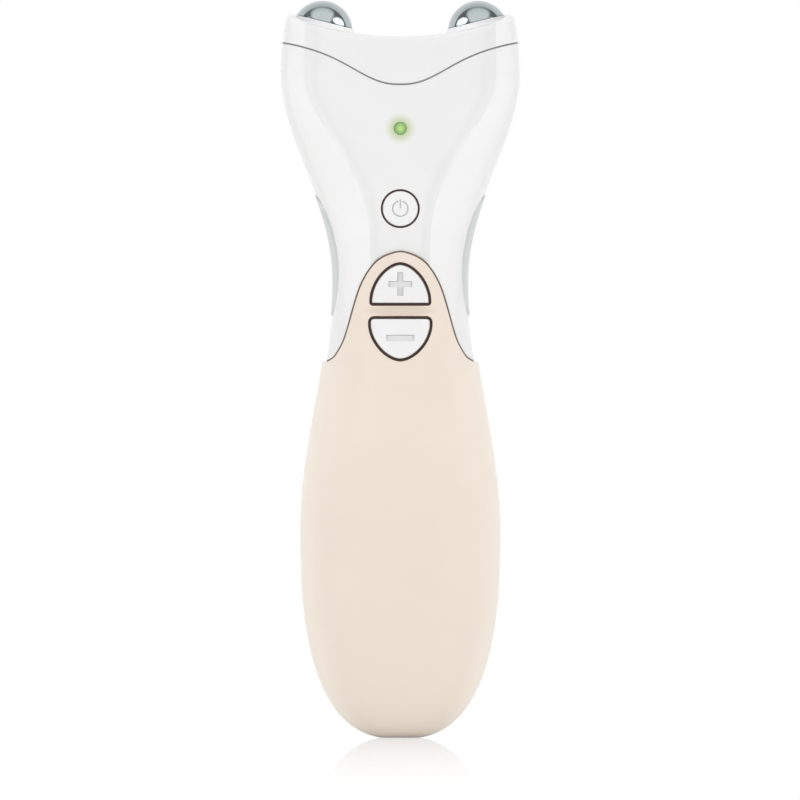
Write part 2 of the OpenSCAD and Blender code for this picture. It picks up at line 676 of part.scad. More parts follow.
module right_electrode() color("silver") at_dome() {
    difference() {
        translate([0, 0, dome_z]) sphere(dome_r);
        translate([0, 0, -cap_wall - 10]) cylinder(h = 10, r = dome_r);
    }
    translate([0, 0, shoulder_low]) cylinder(h = -cap_wall - shoulder_low + 0.2, r = shoulder_r);
    translate([0, 0, carrier_low - tag_t - nut_h - 1]) cylinder(h = 8, r = stem_r);
}
module left_electrode() mirror([1, 0, 0]) right_electrode();

module right_collar() color("white") at_dome() difference() {
    // a hollow flank that rises from the head's top to a narrow rim
    rotate_extrude() polygon(concat(
        [[dome_r - 1, -cap_wall], [collar_r, -cap_wall]],
        [for (i = [0:4]) let (a = 90 * i / 4)
            [collar_r - (collar_r - rim_r) * sin(a), 0.15 + (collar_h - 0.25) * (1 - cos(a))]],
        [[rim_r - 0.1, collar_h], [dome_r - 1, collar_h]]));
    translate([0, 0, dome_z]) sphere(dome_r + slip);
}
module left_collar() mirror([1, 0, 0]) right_collar();

module electrode_carrier() color("gainsboro") difference() {
    union() {
        at_domes() translate([0, 0, carrier_low])
            cylinder(h = -carrier_low - cap_wall - slip, r1 = carrier_foot_r, r2 = carrier_r);
        translate([1 - dome_spacing / 2, -4, cap_seam_z + 4]) cube([dome_spacing - 2, 8, 3]);
    }
    at_domes() {
        translate([0, 0, shoulder_low - slip]) cylinder(h = 8, r = shoulder_r + slip);
        translate([0, 0, carrier_low - 1]) cylinder(h = 10, r = stem_r + slip);
    }
}

module electrode_tags() color("goldenrod") at_domes()
    translate([0, 0, carrier_low - slip - tag_t]) difference() {
        union() {
            cylinder(h = tag_t, r = 3.6);
            translate([-7, -1.2, 0]) cube([7, 2.4, tag_t]);
        }
        translate([0, 0, -1]) cylinder(h = 3, r = stem_r + slip);
    }

module electrode_nuts() color("silver") at_domes()
    translate([0, 0, carrier_low - 2 * slip - tag_t - nut_h]) difference() {
        cylinder(h = nut_h, r = 3.4, $fn = 6);
        translate([0, 0, -1]) cylinder(h = nut_h + 2, r = stem_r + slip);
    }

// Each lead runs from its tag's tip to a pad at the board's upper edge
tag_x = dome_spacing / 2 - (carrier_low - tag_t) * sin(dome_tilt) - 6.4 * cos(dome_tilt);
tag_z = top_height(dome_spacing / 2) + (carrier_low - tag_t) * cos(dome_tilt) - 6.4 * sin(dome_tilt);
lead_r = 0.5;
lead_y = -board_d + board_t + lead_r + slip / 2;
module electrode_leads() color("firebrick") pair()
    wire([[tag_x, 0, tag_z - lead_r - slip], [tag_x, 0, tag_z - 5], [6, lead_y, board_top_z + 3],
          [6, lead_y, board_top_z - 3]], lead_r);

// ---------- buttons ----------

// Half a superellipse on a straight foot with rounded corners: the arch points up from height 0
ARCH_STEPS = 12;
arch_n = 1.75;
plus_foot = 1.3;      // height of the straight sides at a button's foot
minus_foot = 2;
plus_corner = 0.8;    // radius of the corners at a button's foot
minus_corner = 1.4;
function arch(a, b, foot, r) = concat(
    [for (i = [0:ARCH_STEPS]) let (t = 180 * i / ARCH_STEPS)
        [sign(cos(t)) * a * pow(abs(cos(t)), 2 / arch_n), foot + (b - foot) * pow(sin(t), 2 / arch_n)]],
    [for (i = [0:4]) let (t = 180 + 90 * i / 4) [-a + r + r * cos(t), r + r * sin(t)]],
    [for (i = [0:4]) let (t = 270 + 90 * i / 4) [a - r + r * cos(t), r + r * sin(t)]]);
// An outline drawn in by the same distance all round, and never past its middle
function inset_outline(p, inset) = [for (i = [0:len(p) - 1])
    let (along = p[(i + 1) % len(p)] - p[(i + len(p) - 1) % len(p)],
         q = p[i] + inset / norm(along) * [-along[1], along[0]])
    [q[0] * p[i][0] > 0 ? q[0] : 0, q[1]]];
module plus_outline(inset) translate([0, plus_z])
    polygon(inset_outline(arch(plus_a, plus_b + plus_foot, plus_foot, plus_corner), inset));
module minus_outline(inset) translate([0, minus_z]) mirror([0, 1])
    polygon(inset_outline(arch(minus_a, minus_b + minus_foot, minus_foot, minus_corner), inset));

// A prism along Y from a depth, through a length, over an outline drawn in X and Z
module opening(from, length) translate([0, from + length, 0])
    rotate([90, 0, 0])
        linear_extrude(length)
            children();

// A key: its crowned cap, a flange behind the housing and the post that works its switch
crown_r = 42;
flange_w = 0.5;       // width of the flange that keeps a button from falling out
power_flange_w = 0.3;
power_face = face_at(0, power_z);
module key(surface, mid_z, proud, flange_inset) {
    top = surface + proud;
    inside = -(surface - wall) + 2 * fit;
    intersection() {
        opening(-top - 1, top + 1 + inside) children(0);
        translate([0, crown_r - top, mid_z]) sphere(crown_r, $fn = 200);
    }
    opening(inside - 0.01, 0.9) children(1);
    rod(0, mid_z, inside, post_y, key_post_r);
}

// A bar sunk into a button's face, lying or turned upright
module sign_bar(z, length, upright = 0)
    translate([0, -tongue_z - 1 + sign_depth, z]) rotate([0, upright, 0])
        cube([length, 2, sign_line], center = true);

module plus_button() color("whitesmoke") difference() {
    key(tongue_z, plus_mid_z, key_crown) {
        plus_outline(seal_w + fit);
        plus_outline(-flange_w);
    }
    sign_bar(plus_mid_z + plus_sign_up, plus_sign_l);
    sign_bar(plus_mid_z + plus_sign_up, plus_sign_l, 90);
}
module minus_button() color("whitesmoke") difference() {
    key(tongue_z, minus_mid_z, key_crown) {
        minus_outline(seal_w + fit);
        minus_outline(-flange_w);
    }
    sign_bar(minus_mid_z - minus_sign_down, minus_sign_l);
    // clear of the post that carries the circuit board's foot
    rod(0, board_foot_z, -tongue_z + wall, -board_d, post_r + 2 * fit);
}
module power_button() color("whitesmoke") difference() {
    key(power_face, power_z, power_crown) {
        translate([0, power_z]) circle(power_hole_d / 2 - power_seal_w - fit);
        translate([0, power_z]) circle(power_hole_d / 2 + power_flange_w);
    }
    power_symbol();
}
// A ring that is open at its top, with a bar in the opening
symbol_r = 1.9;
symbol_line = 0.28;
symbol_low = 0.18;    // the symbol's floor lies this far in front of the panel
symbol_gap = 0.9;
module power_symbol() {
    low = -power_face - symbol_low;
    difference() {
        rod(0, power_z, low - 1, low, symbol_r);
        rod(0, power_z, low - 2, low + 1, symbol_r - symbol_line);
        translate([-symbol_gap / 2, low - 2, power_z]) cube([symbol_gap, 3, 3]);
    }
    translate([-symbol_line / 2, low - 1, power_z + 0.2]) cube([symbol_line, 1, symbol_r]);
}

module seal_ring(surface) translate([0, -surface + 0.12 + 1.6, 0])
    rotate([90, 0, 0])
        linear_extrude(1.6)
            difference() {
                children(0);
                children(1);
            }
module plus_seal() color("#3a2a20") seal_ring(tongue_z) {
    plus_outline(0.02);
    plus_outline(seal_w);
}
module minus_seal() color("#3a2a20") seal_ring(tongue_z) {
    minus_outline(0.02);
    minus_outline(seal_w);
}
module power_seal() color("#3a2a20") seal_ring(power_face) {
    translate([0, power_z]) circle(power_hole_d / 2 - 0.02);
    translate([0, power_z]) circle(power_hole_d / 2 - power_seal_w);
}

// A plunger stops on its switch's floor when its button has gone through its travel
module plunger(z) color("black")
    rod(0, z, post_y, -board_d - switch_floor - button_travel - slip, plunger_r);
module power_plunger() plunger(power_z);
module plus_plunger() plunger(plus_mid_z);
module minus_plunger() plunger(minus_mid_z);

module switch_bodies() color("dimgray") for (z = [power_z, plus_mid_z, minus_mid_z])
    difference() {
        translate([-switch_w / 2, -board_d - switch_h, z - switch_w / 2])
            cube([switch_w, switch_h, switch_w]);
        rod(0, z, -board_d - switch_h - 1, -board_d - switch_floor, plunger_r + slip);
    }

// ---------- indicator and electronics ----------

led_face = face_at(0, led_z);
module indicator_lens() color("limegreen") {
    rod(0, led_z, -led_face, -board_d - 1.2, led_d / 2);
    intersection() {
        translate([0, -led_face + 1.2, led_z]) sphere(led_d / 2 + 0.35);
        rod(0, led_z, -led_face - 1, -led_face + 0.5, led_d / 2);
    }
    rod(0, led_z, -led_face + wall + 0.05, -led_face + wall + 0.85, led_d / 2 + 0.8);
}
module indicator_led() color("khaki")
    translate([-1.6, -board_d - 1.1, led_z - 0.8]) cube([3.2, 1.1, 1.6]);

module circuit_board() color("darkgreen") difference() {
    translate([-board_w / 2, -board_d, board_low_z]) cube([board_w, board_t, board_top_z - board_low_z]);
    pair()
        rod(board_screw_x, board_screw_z, -board_d - 1, 0, screw_r + fit);
    rod(0, board_foot_z, -board_d - 1, 0, screw_r + fit);
}

rear_y = -board_d + board_t;     // the board's rear face
chip_z = 97;
chip_w = 6.4;
chip_l = 10.4;
pin_l = 1.4;
core_z = 112;
core_w = 13;          // the transformer's core: three legs between two yokes
core_d = 6;
core_h = 14;
leg_w = 3.4;
window_w = 2.9;
yoke_h = 3;
winding_gap = 0.1;
module controller_chip() color("black")
    translate([-chip_w / 2, rear_y + 0.15, chip_z]) cube([chip_w, 1.7, chip_l]);
module controller_pins() color("silver") pair() for (i = [0:7])
    translate([chip_w / 2, rear_y, chip_z + 0.55 + 1.27 * i]) cube([pin_l, 0.5, 0.42]);

module transformer_core() color("#303030") difference() {
    translate([-core_w / 2, rear_y, core_z]) cube([core_w, core_d, core_h]);
    pair()
        translate([leg_w / 2, rear_y - 1, core_z + yoke_h])
            cube([window_w, core_d + 2, core_h - 2 * yoke_h]);
}
module transformer_winding() color("goldenrod") difference() {
    w = leg_w + 2 * window_w - 2 * winding_gap;
    h = core_h - 2 * yoke_h - 4 * winding_gap;
    translate([-w / 2, rear_y + winding_gap, core_z + (core_h - h) / 2])
        cube([w, core_d + 2, h]);
    translate([-leg_w / 2 - winding_gap / 2, rear_y - 1, core_z])
        cube([leg_w + winding_gap, core_d + 1 + winding_gap / 2, core_h]);
}
module capacitor() color("navy") rod(-5.6, 91, rear_y, rear_y + 7, 2.5);
module buzzer() color("black") rod(0, 136, rear_y, rear_y + 4, 4.6);

// ---------- battery bay ----------

module battery_tray() color("whitesmoke") difference() {
    union() {
        translate([-tray_w / 2, tray_y, bay_z - tray_wall])
            cube([tray_w, cell_y + 2.5 - tray_y, bay_l + 2 * tray_wall]);
        translate([-tray_w / 2, flange_y, bay_z + bay_l])
            cube([tray_w, 1.8, tray_wall + flange_h]);
    }
    for (x = [-cell_x, cell_x])
        translate([x, 0, bay_z]) {
            translate([0, cell_y, 0]) cylinder(h = bay_l, r = cell_d / 2 + 0.2);
            translate([-cell_d / 2 - 0.2, cell_y, 0]) cube([cell_d + 0.4, 20, bay_l]);
        }
    pair()
        rod(tray_screw_x, tray_screw_z, flange_y - 1, flange_y + 4, screw_r + fit);
}

// One cell stands on its negative end, beside one that hangs from it
module cell() {
    cylinder(h = cell_l - 0.8, r = cell_d / 2);
    cylinder(h = cell_l, r = 1.9);
}
module batteries() color("#4d7fa8") {
    translate([cell_x, cell_y, bay_z + spring_h]) cell();
    translate([-cell_x, cell_y, bay_z + plate_t + cell_l]) rotate([180, 0, 0]) cell();
}

// A conical coil of round wire from a wide foot to a narrow tip
module coil(turns, r0, r1, h, wire_r, sides = 5, steps = 9) {
    n = turns * steps;
    rows = [for (i = [0:n]) let (a = 360 * i / steps, t = i / n, r = between(r0, r1, t))
        [for (k = [0:sides - 1]) let (b = 360 * k / sides, q = r + wire_r * cos(b))
            [q * cos(a), q * sin(a), wire_r + (h - 2 * wire_r) * t + wire_r * sin(b)]]];
    function ids(j) = [for (k = [0:sides]) j * sides + k % sides];
    polyhedron(points = flatten(rows), faces = concat(
        [for (j = [0:n - 1]) for (f = strip_faces(ids(j), ids(j + 1), true)) f],
        [[for (k = [sides - 1:-1:0]) k]],
        [[for (k = [0:sides - 1]) n * sides + k]]));
}
module spring() {
    coil(spring_turns, spring_r, spring_tip_r, spring_h - 2 * slip, spring_wire_r);
}
module battery_springs() color("silver") {
    translate([cell_x, cell_y, bay_z + slip]) spring();
    translate([-cell_x, cell_y, bay_z + bay_l - slip]) rotate([180, 0, 0]) spring();
}
module battery_plates() color("silver") for (side = [-1, 1])
    translate([side * cell_x - plate_w / 2, cell_y - plate_w / 2,
               side < 0 ? bay_z + 0.02 : bay_z + bay_l - plate_t + 0.02])
        cube([plate_w, plate_w, plate_t - 0.06]);

module battery_leads() color("firebrick") pair() {
    low = bay_z + bay_l + tray_wall;
    front = flange_y - lead_r - slip / 2;
    wire([[3.6, front, low + 0.1], [3.6, front, low + 7], [3.4, lead_y, board_low_z - 3],
          [3.4, lead_y, board_low_z + 5]], lead_r);
}

// ---------- fasteners ----------

// A pan-head screw along Y whose head rests on a face and points towards the back
module screw(x, z, face, length) {
    difference() {
        rod(x, z, face, face + head_h, head_r);
        for (turn = [0, 90])
            translate([x, face + head_h, z]) rotate([0, turn, 0])
                cube([2.4, 1.2, 0.5], center = true);
    }
    rod(x, z, face - length, face, screw_r);
}
module case_screws() color("silver") {
    pair()
        screw(case_screw_x, case_screw_z, well_floor + slip / 2, case_screw_l);
    screw(0, grip_screw_z, well_floor + slip / 2, case_screw_l);
}
module board_screws() color("silver") {
    pair()
        screw(board_screw_x, board_screw_z, rear_y + slip / 2, board_screw_l);
    screw(0, board_foot_z, rear_y + slip / 2, board_screw_l);
}
module tray_screws() color("silver") pair()
    screw(tray_screw_x, tray_screw_z, flange_y + 1.8 + slip / 2, 8);

head_cap();
front_shell();
rear_shell();
front_grip();
rear_grip();
battery_cover();
left_side_inlay();
right_side_inlay();
cap_gasket();
grip_gasket();
left_collar();
right_collar();
left_electrode();
right_electrode();
electrode_carrier();
electrode_tags();
electrode_nuts();
electrode_leads();
power_button();
plus_button();
minus_button();
power_seal();
plus_seal();
minus_seal();
power_plunger();
plus_plunger();
minus_plunger();
switch_bodies();
indicator_lens();
indicator_led();
circuit_board();
controller_chip();
controller_pins();
transformer_core();
transformer_winding();
capacitor();
buzzer();
battery_tray();
batteries();
battery_springs();
battery_plates();
battery_leads();
case_screws();
board_screws();
tray_screws();
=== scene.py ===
"""A hand-held facial toning device: its looks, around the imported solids."""
import json
import math

import bpy
from mathutils import Matrix, Quaternion, Vector


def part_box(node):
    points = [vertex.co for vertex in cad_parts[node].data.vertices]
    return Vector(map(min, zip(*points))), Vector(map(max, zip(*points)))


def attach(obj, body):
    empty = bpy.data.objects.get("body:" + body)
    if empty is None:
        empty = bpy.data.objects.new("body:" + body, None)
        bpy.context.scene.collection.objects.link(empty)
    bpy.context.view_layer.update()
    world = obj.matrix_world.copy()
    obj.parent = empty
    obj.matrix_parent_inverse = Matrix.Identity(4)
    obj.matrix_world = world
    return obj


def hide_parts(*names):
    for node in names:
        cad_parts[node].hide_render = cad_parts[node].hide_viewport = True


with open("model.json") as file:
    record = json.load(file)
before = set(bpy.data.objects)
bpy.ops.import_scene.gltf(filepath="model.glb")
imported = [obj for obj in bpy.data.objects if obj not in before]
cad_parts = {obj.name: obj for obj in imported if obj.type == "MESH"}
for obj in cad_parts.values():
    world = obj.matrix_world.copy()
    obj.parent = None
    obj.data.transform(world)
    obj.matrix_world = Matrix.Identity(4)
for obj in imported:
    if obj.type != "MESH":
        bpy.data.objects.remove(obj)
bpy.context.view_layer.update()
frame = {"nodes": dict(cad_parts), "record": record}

MM = 0.001

# ---------------- sizes, in millimetres
GRIP_W = 46.2                 # widest width of the soft grip
BELLY_Z = 48.4                # height of that width
BELLY_FRONT_D = 15.2          # depth of the grip's front there
BELLY_BACK_D = 14.5           # depth of its back there
BELLY_FLAT = 9.0              # half width of the flat middle of its section
GRIP_TOP_Z = 86.6             # where the grip ends and the white housing begins
TONGUE_H = 25.4               # height of the grip's tongue above that
SIDE_PROUD = 0.95             # how far the grip stands proud at its sides
FACE_PROUD = 0.35             # and at its front and back
BUTT_FLAT_W = 9.0             # width of the flat spot on the butt
WAIST_HW = 15.4               # half width of the waist
WAIST_Z = 105.0
HEAD_HW = 27.6                # half width of the head
SHOULDER_Z = 153.0
HEAD_TOP_Z = 161.7            # lowest point of the hollow top
HEAD_TOP_R = 75.0             # radius of the hollow
FACE_D = 12.0                 # depth of the flat front face
FACE_FOOT_Z = 86.0
WAIST_BACK_D = 11.5
HEAD_BACK_D = 14.5
BACK_FLAT_Z = 136.0
TOP_EDGE_R = 1.4              # rounding of the head's top edges
WALL = 2.0
SEAM = 0.3                    # gap between neighbouring housings
CAP_LINE = 0.4                # width of the line that shows below the head cap
GRIP_LINE_LOW = -0.06         # the line round the grip reaches this far past its outline
GASKET_LOW_BY = 0.08          # depth of the gaskets below the housings' skin
PANEL_HW = 22.0               # half width of the sunk panel across the head
PANEL_NECK_HW = 6.9           # and at the neck
PANEL_SINK = 1.3              # depth of the panel where it is wide
PANEL_SOFT = 5.5              # width of its sloping edge there
NECK_Z = 112.0                # the panel starts to widen here
THROAT_Z = 153.0              # and is at full width here
CAP_SEAM_Z = 150.65           # lowest point of the seam below the head cap
CAP_SEAM_RISE = 9.6
SEAM_BEND = 0.545             # share of the head's half width at which the seam is steepest
SEAM_N = 2.45
GRIP_N = 2.4                  # exponent of the section's rounded flanks at the grip
HEAD_N = 5.0                  # and at the head, where they are squarer
HEAD_N_Z = 128.0              # height from which they are so
BUTT_N = 2.6                  # exponent of the rounded butt
FLANK_S = 0.45                # share of a half section that lies on its flat middle
# the tongue's outline: shares of the housing's half width and of the tongue's height
TONGUE = [(0, 1), (0.117, 0.984), (0.229, 0.953), (0.323, 0.909), (0.399, 0.852), (0.472, 0.777),
          (0.551, 0.664), (0.63, 0.497), (0.707, 0.312), (0.774, 0.18), (0.874, 0.063),
          (0.938, 0.025), (0.98, 0.01), (1, 0.006)]
CREASE = 4                    # knots of the outline on the flat middle of the section
CORNER_S = 0.9                # where the grip's top corner starts, across a half section
LIP = TONGUE[-1][1] * TONGUE_H

PROUD_FROM_Z = 60.0           # the grip starts to stand evenly proud here
HEAD_DRAWN_IN = 0.007         # how fast the head narrows above its shoulder
WAIST_BIAS, PANEL_BIAS = 1.1, 1.35    # how late the head and its panel widen

# domes and collars, heights from the hollow top
DOME_R = 7.0
DOME_SPACING = 2 * HEAD_HW - 19.6
DOME_REVEAL = 4.9             # height of dome above its collar
COLLAR_H = 1.3
COLLAR_R = 7.65
RIM_R = 6.95                  # outer radius of the collar's rim
DOME_TILT = math.asin(DOME_SPACING / 2 / HEAD_TOP_R)
DOME_Z = COLLAR_H - (DOME_R - DOME_REVEAL)    # centre of the dome above the hollow top
CAP_WALL = 2.4
SHOULDER_R = 4.6
SHOULDER_LOW = -5.8
STEM_R = 2.0
STEM_LOW = -12.8
BORE_GAP = 0.05               # play of a dome in its collar, and of a collar in the cap

# keys, their signs and the indicator
POWER_HOLE_R = 4.5
PLUS_A, PLUS_B, PLUS_Z = 7.15, 8.8, 99.6
MINUS_A, MINUS_B, MINUS_Z = 7.45, 8.5, 97.25
ARCH_N = 1.75
PLUS_FOOT, PLUS_CORNER = 1.3, 0.8
MINUS_FOOT, MINUS_CORNER = 2.0, 1.4
SEAL_W = 0.58
POWER_SEAL_W = 0.36
KEY_PROUD, POWER_PROUD = 0.35, 0.2
CROWN_LOW = 0.25              # the foot of a key's crown lies this far below its surroundings
CROWN_EDGE = 0.3              # how far the crown's rounded edge draws in
CROWN_EDGE_SHARE = 0.6        # share of the crown's height that its edge takes
KEY_REACH = 6.5               # half width of an arched key, for its crown
FLANGE_T, FLANGE_W = 0.9, 0.5
POST_R = 1.6
POST_Y = max(c[1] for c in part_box("power_button")) / MM
SIGN_DEPTH = 0.45             # depth of the moulded signs below the crown
SIGN_DRAFT = 0.16             # how far a sign's walls lean out over its depth
SIGN_LINE = 1.4
PLUS_SIGN_L, PLUS_SIGN_Z = 5.5, 104.6
MINUS_SIGN_L, MINUS_SIGN_Z = 6.5, 92.2
POWER_SIGN_R, POWER_SIGN_IN_R = 1.9, 1.62
POWER_SIGN_LINE, POWER_SIGN_DEPTH = 0.26, 0.1
POWER_GAP_W = 0.95            # width of the gap in the power symbol's ring
POWER_BAR_L, POWER_BAR_UP = 2.1, 1.15
FIT = 0.1
LED_R = 1.4
LED_Z = 140.5
LENS_CROWN, LENS_FLANGE = 0.45, 0.8

# battery cover, side inlays and what lies in the walls
COVER_W, COVER_LOW_Z, COVER_TOP_Z = 27.0, 21.5, 82.0
COVER_T, COVER_R, LEDGE_W = 1.4, 4.0, 1.2
COVER_SPARE = 1.0             # sheets for the cover are larger than it by this, and trimmed
COVER_RIM_T = 0.8
NOTCH_R, NOTCH_SINK, NOTCH_DOWN = 8.0, 0.6, 3.0      # the hollow of the thumb rest
BAR_R, BAR_SINK, BAR_STEP = 0.75, 0.35, 2.4          # and the bars below it
BAR_W = 9.0
INLAY_LOW_Z, INLAY_L = 97.4, 27.8
INLAY_SHOWS = 1.2             # how much of its width shows from the front
INLAY_PROUD, INLAY_T, INLAY_SEAM = 0.3, 2.0, 0.06
LEAF_STEPS = 60
WINDOW_FROM = 11.5            # the windows' tools start here, clear of the far side
EDGE_R, GRIP_EDGE_R = 0.22, 0.25
INSIDE_D = 5.0                # depth inside the front walls, where tools for their holes end
WELL_R = 2.5
WELL_T, WELL_FLOOR, WELL_FOOT = 1.1, 2.2, 0.2
CASE_SCREW_X, CASE_SCREW_Z, GRIP_SCREW_Z = 15.0, 144.0, 13.0
GASKET_INNER_D = 1.35         # depth of the gaskets' inner edge
FLOOR_SHARE = 0.06            # share of a grip half's rows that close its butt

# ---------------- view and studio
PIXEL = 0.2308                # millimetres of the object to one pixel of the picture
PICTURE = 800                 # the picture's width in pixels
SENSOR = 36.0
VIEW_Z = 77.9                 # height at the middle of the picture
VIEW_X = -0.07
CAMERA_D = 7200.0
BOX_HALF = 0.68               # half width of the overhead soft box for each unit of height
BOX_WIDENS = 0.19             # what it gains for each unit towards the front
BOX_LIGHT = 1.17
BOX_BACK_LIGHT = 0.7          # its light along the back edge, as a share of the rest
BOX_CORNER = 3.0              # exponent of its rounded corners
STUDIO_DIM = 0.22             # light of the studio round it
STUDIO_RAYS = ("Is Camera Ray", "Is Glossy Ray", "Is Transmission Ray")

BELLY_HW = GRIP_W / 2 - SIDE_PROUD
TONGUE_D = FACE_D + FACE_PROUD       # depth of the tongue's flat front
PLUS_MID_Z = PLUS_Z + PLUS_B / 2
MINUS_MID_Z = MINUS_Z - MINUS_B / 2
POWER_Z = sum(c[2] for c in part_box("power_button")) / 2 / MM


# ---------------- the body's form

def between(a, b, t):
    return a + (b - a) * t


def clamp(t):
    return max(0.0, min(1.0, t))


def ease(t):
    t = clamp(t)
    return t * t * (3 - 2 * t)


def ramp(z, z0, a, z1, b, bias=1.0):
    return between(a, b, ease(clamp((z - z0) / (z1 - z0)) ** bias))


def half_w(z):
    if z < WAIST_Z:
        return ramp(z, BELLY_Z, BELLY_HW, WAIST_Z, WAIST_HW)
    if z < SHOULDER_Z:
        return ramp(z, WAIST_Z, WAIST_HW, SHOULDER_Z, HEAD_HW, WAIST_BIAS)
    return HEAD_HW - HEAD_DRAWN_IN * (z - SHOULDER_Z) ** 2


def front_d(z):
    return ramp(z, BELLY_Z, BELLY_FRONT_D - FACE_PROUD, FACE_FOOT_Z, FACE_D)


def back_d(z):
    if z < WAIST_Z:
        return ramp(z, BELLY_Z, BELLY_BACK_D - FACE_PROUD, WAIST_Z, WAIST_BACK_D)
    return ramp(z, WAIST_Z, WAIST_BACK_D, BACK_FLAT_Z, HEAD_BACK_D)


def flat_w(z):
    if z < NECK_Z:
        return ramp(z, BELLY_Z, BELLY_FLAT, WAIST_Z, PANEL_NECK_HW)
    return ramp(z, NECK_Z, PANEL_NECK_HW, THROAT_Z, PANEL_HW, PANEL_BIAS)


BUTT_OPEN = (1 - (BUTT_FLAT_W / GRIP_W) ** BUTT_N) ** (1 / BUTT_N)


def butt(z):
    """How far the grip's rounded butt has opened at a height."""
    if z >= BELLY_Z:
        return 1.0
    return (1 - (BUTT_OPEN * (BELLY_Z - z) / BELLY_Z) ** BUTT_N) ** (1 / BUTT_N)


def sink(x, z):
    """Depth of the sunk panel at a place on the front: steepest at its crease."""
    soft_w = min(PANEL_SOFT, 0.5 * flat_w(z))
    t = clamp((flat_w(z) - abs(x)) / soft_w)
    return PANEL_SINK * soft_w / PANEL_SOFT * ramp(z, WAIST_Z, 0, NECK_Z + 2, 1) * (1 - (1 - t) ** 3)


def flank_n(z):
    return ramp(z, GRIP_TOP_Z, GRIP_N, HEAD_N_Z, HEAD_N)


def turn_at(s):
    return math.pi / 2 * (s - FLANK_S) / (1 - FLANK_S)


def across(s, c, w, n):
    """Place across a half section: s is 0 in its middle and 1 at its side."""
    if s <= FLANK_S:
        return c * s / FLANK_S
    return c + (w - c) * math.sin(turn_at(s)) ** (2 / n)


def drop(s, n):
    """Share of the section's depth that is left at a place across it."""
    if s <= FLANK_S:
        return 1.0
    return max(0.0, math.cos(turn_at(s))) ** (2 / n)


def place(x, c, w, n):
    """The other way round: s for a place across."""
    if x <= c:
        return FLANK_S * x / c
    turn = math.asin(clamp((x - c) / (w - c)) ** (n / 2))
    return FLANK_S + (1 - FLANK_S) * turn / (math.pi / 2)


def sign(x):
    return (x > 0) - (x < 0)


def section_at(s, z, side, rounded):
    """A place across the section at a height, and the share of its depth that is left there."""
    e = butt(z) if rounded else 1.0
    x = sign(s) * across(abs(s), e * flat_w(z), e * (half_w(z) + side), flank_n(z))
    return x, drop(abs(s), flank_n(z)) * e


def front_point(s, z, side=0.0, face=0.0, rounded=False, sunk=True):
    x, share = section_at(s, z, side, rounded)
    return Vector((x, -share * (front_d(z) + face) + (sink(x, z) if sunk else 0), z))


def back_point(s, z, side=0.0, face=0.0, rounded=False):
    x, share = section_at(s, z, side, rounded)
    return Vector((x, share * (back_d(z) + face), z))


def on_loop(u):
    """A place on the way round the form: whether it lies in front, and where across."""
    around = 4 * u
    front = around <= 2
    return front, around - 1 if front else 3 - around


def loop_point(front, s, z, side):
    return front_point(s, z, side, side) if front else back_point(s, z, side, side)


def quarter(x, z, r, first, steps):
    """A quarter of a circle, from an angle on, as points."""
    angles = [math.radians(first + 90 * k / steps) for k in range(steps + 1)]
    return [(x + r * math.cos(a), z + r * math.sin(a)) for a in angles]


def head_x(s):
    return sign(s) * across(abs(s), flat_w(SHOULDER_Z), half_w(SHOULDER_Z), HEAD_N)


def cap_seam(x):
    u, bend = clamp(abs(x) / HEAD_HW) ** SEAM_N, SEAM_BEND ** SEAM_N
    return CAP_SEAM_Z + CAP_SEAM_RISE * (1 + bend) * u / (u + bend)


def top_height(x):
    return HEAD_TOP_Z + HEAD_TOP_R - math.sqrt(HEAD_TOP_R ** 2 - x * x)


def knot(i):
    last = len(TONGUE) - 1
    if i < 0:
        return Vector((-TONGUE[-i][0], TONGUE[-i][1]))
    if i > last:
        return 2 * Vector(TONGUE[last]) - Vector(TONGUE[2 * last - i])
    return Vector(TONGUE[i])


def tongue_curve(t):
    """A smooth curve through the knots of the tongue's outline, as shares."""
    i = min(int(t), len(TONGUE) - 2)
    u = t - i
    a, b, c, d = (knot(i + k) for k in (-1, 0, 1, 2))
    return (2 * b + (c - a) * u + (2 * a - 5 * b + 4 * c - d) * u ** 2
            + (3 * b - a - 3 * c + d) * u ** 3) / 2


def outline(t):
    p = tongue_curve(t)
    return Vector((p[0] * half_w(GRIP_TOP_Z), p[1] * TONGUE_H))


def tongue_at(s, offset, proud=0.0):
    """The tongue's outline at a column, offset outwards: its place across a skin that is
    proud by so much at its sides, and its height."""
    a = abs(s)
    if a <= FLANK_S:
        t = CREASE * a / FLANK_S
    else:
        t = CREASE + (len(TONGUE) - 1 - CREASE) * (a - FLANK_S) / (1 - FLANK_S)
    p = outline(t)
    along = outline(t + 0.02) - outline(t - 0.02)
    out = Vector((-along[1], along[0])).normalized() * offset
    z = GRIP_TOP_Z + p[1] + (offset if a >= 1 else out[1])
    x = min(p[0] + out[0], half_w(z))
    w = half_w(z) + proud * (1 - corner(a))
    return sign(s) * (1.0 if a >= 1 else place(x, flat_w(z), w, flank_n(z))), z


def corner(s):
    """The grip's top corner at its sides: 0 away from it and 1 in it."""
    return ease((abs(s) - CORNER_S) / (1 - CORNER_S))


def grip_side(s, z):
    """Near its top the grip is proud by the same all round but for its corners."""
    near_top = ramp(z, PROUD_FROM_Z, 0, GRIP_TOP_Z, 1)
    return between(FACE_PROUD, SIDE_PROUD, between(1, corner(s), near_top))


POWER_D = FACE_D - sink(0, POWER_Z)   # depth of the panel's floor at the power button
LED_D = FACE_D - sink(0, LED_Z)       # and at the indicator


# ---------------- modelling by operator

def mode(name):
    if bpy.context.object and bpy.context.object.mode != name:
        bpy.ops.object.mode_set(mode=name)


def only(piece):
    """Select one piece and nothing else."""
    mode("OBJECT")
    bpy.ops.object.select_all(action="DESELECT")
    piece.select_set(True)
    bpy.context.view_layer.objects.active = piece


def start(name):
    """Name the primitive that was just added, with everything else let go."""
    piece = bpy.context.object
    piece.name = name
    piece.data.name = name
    only(piece)
    return piece


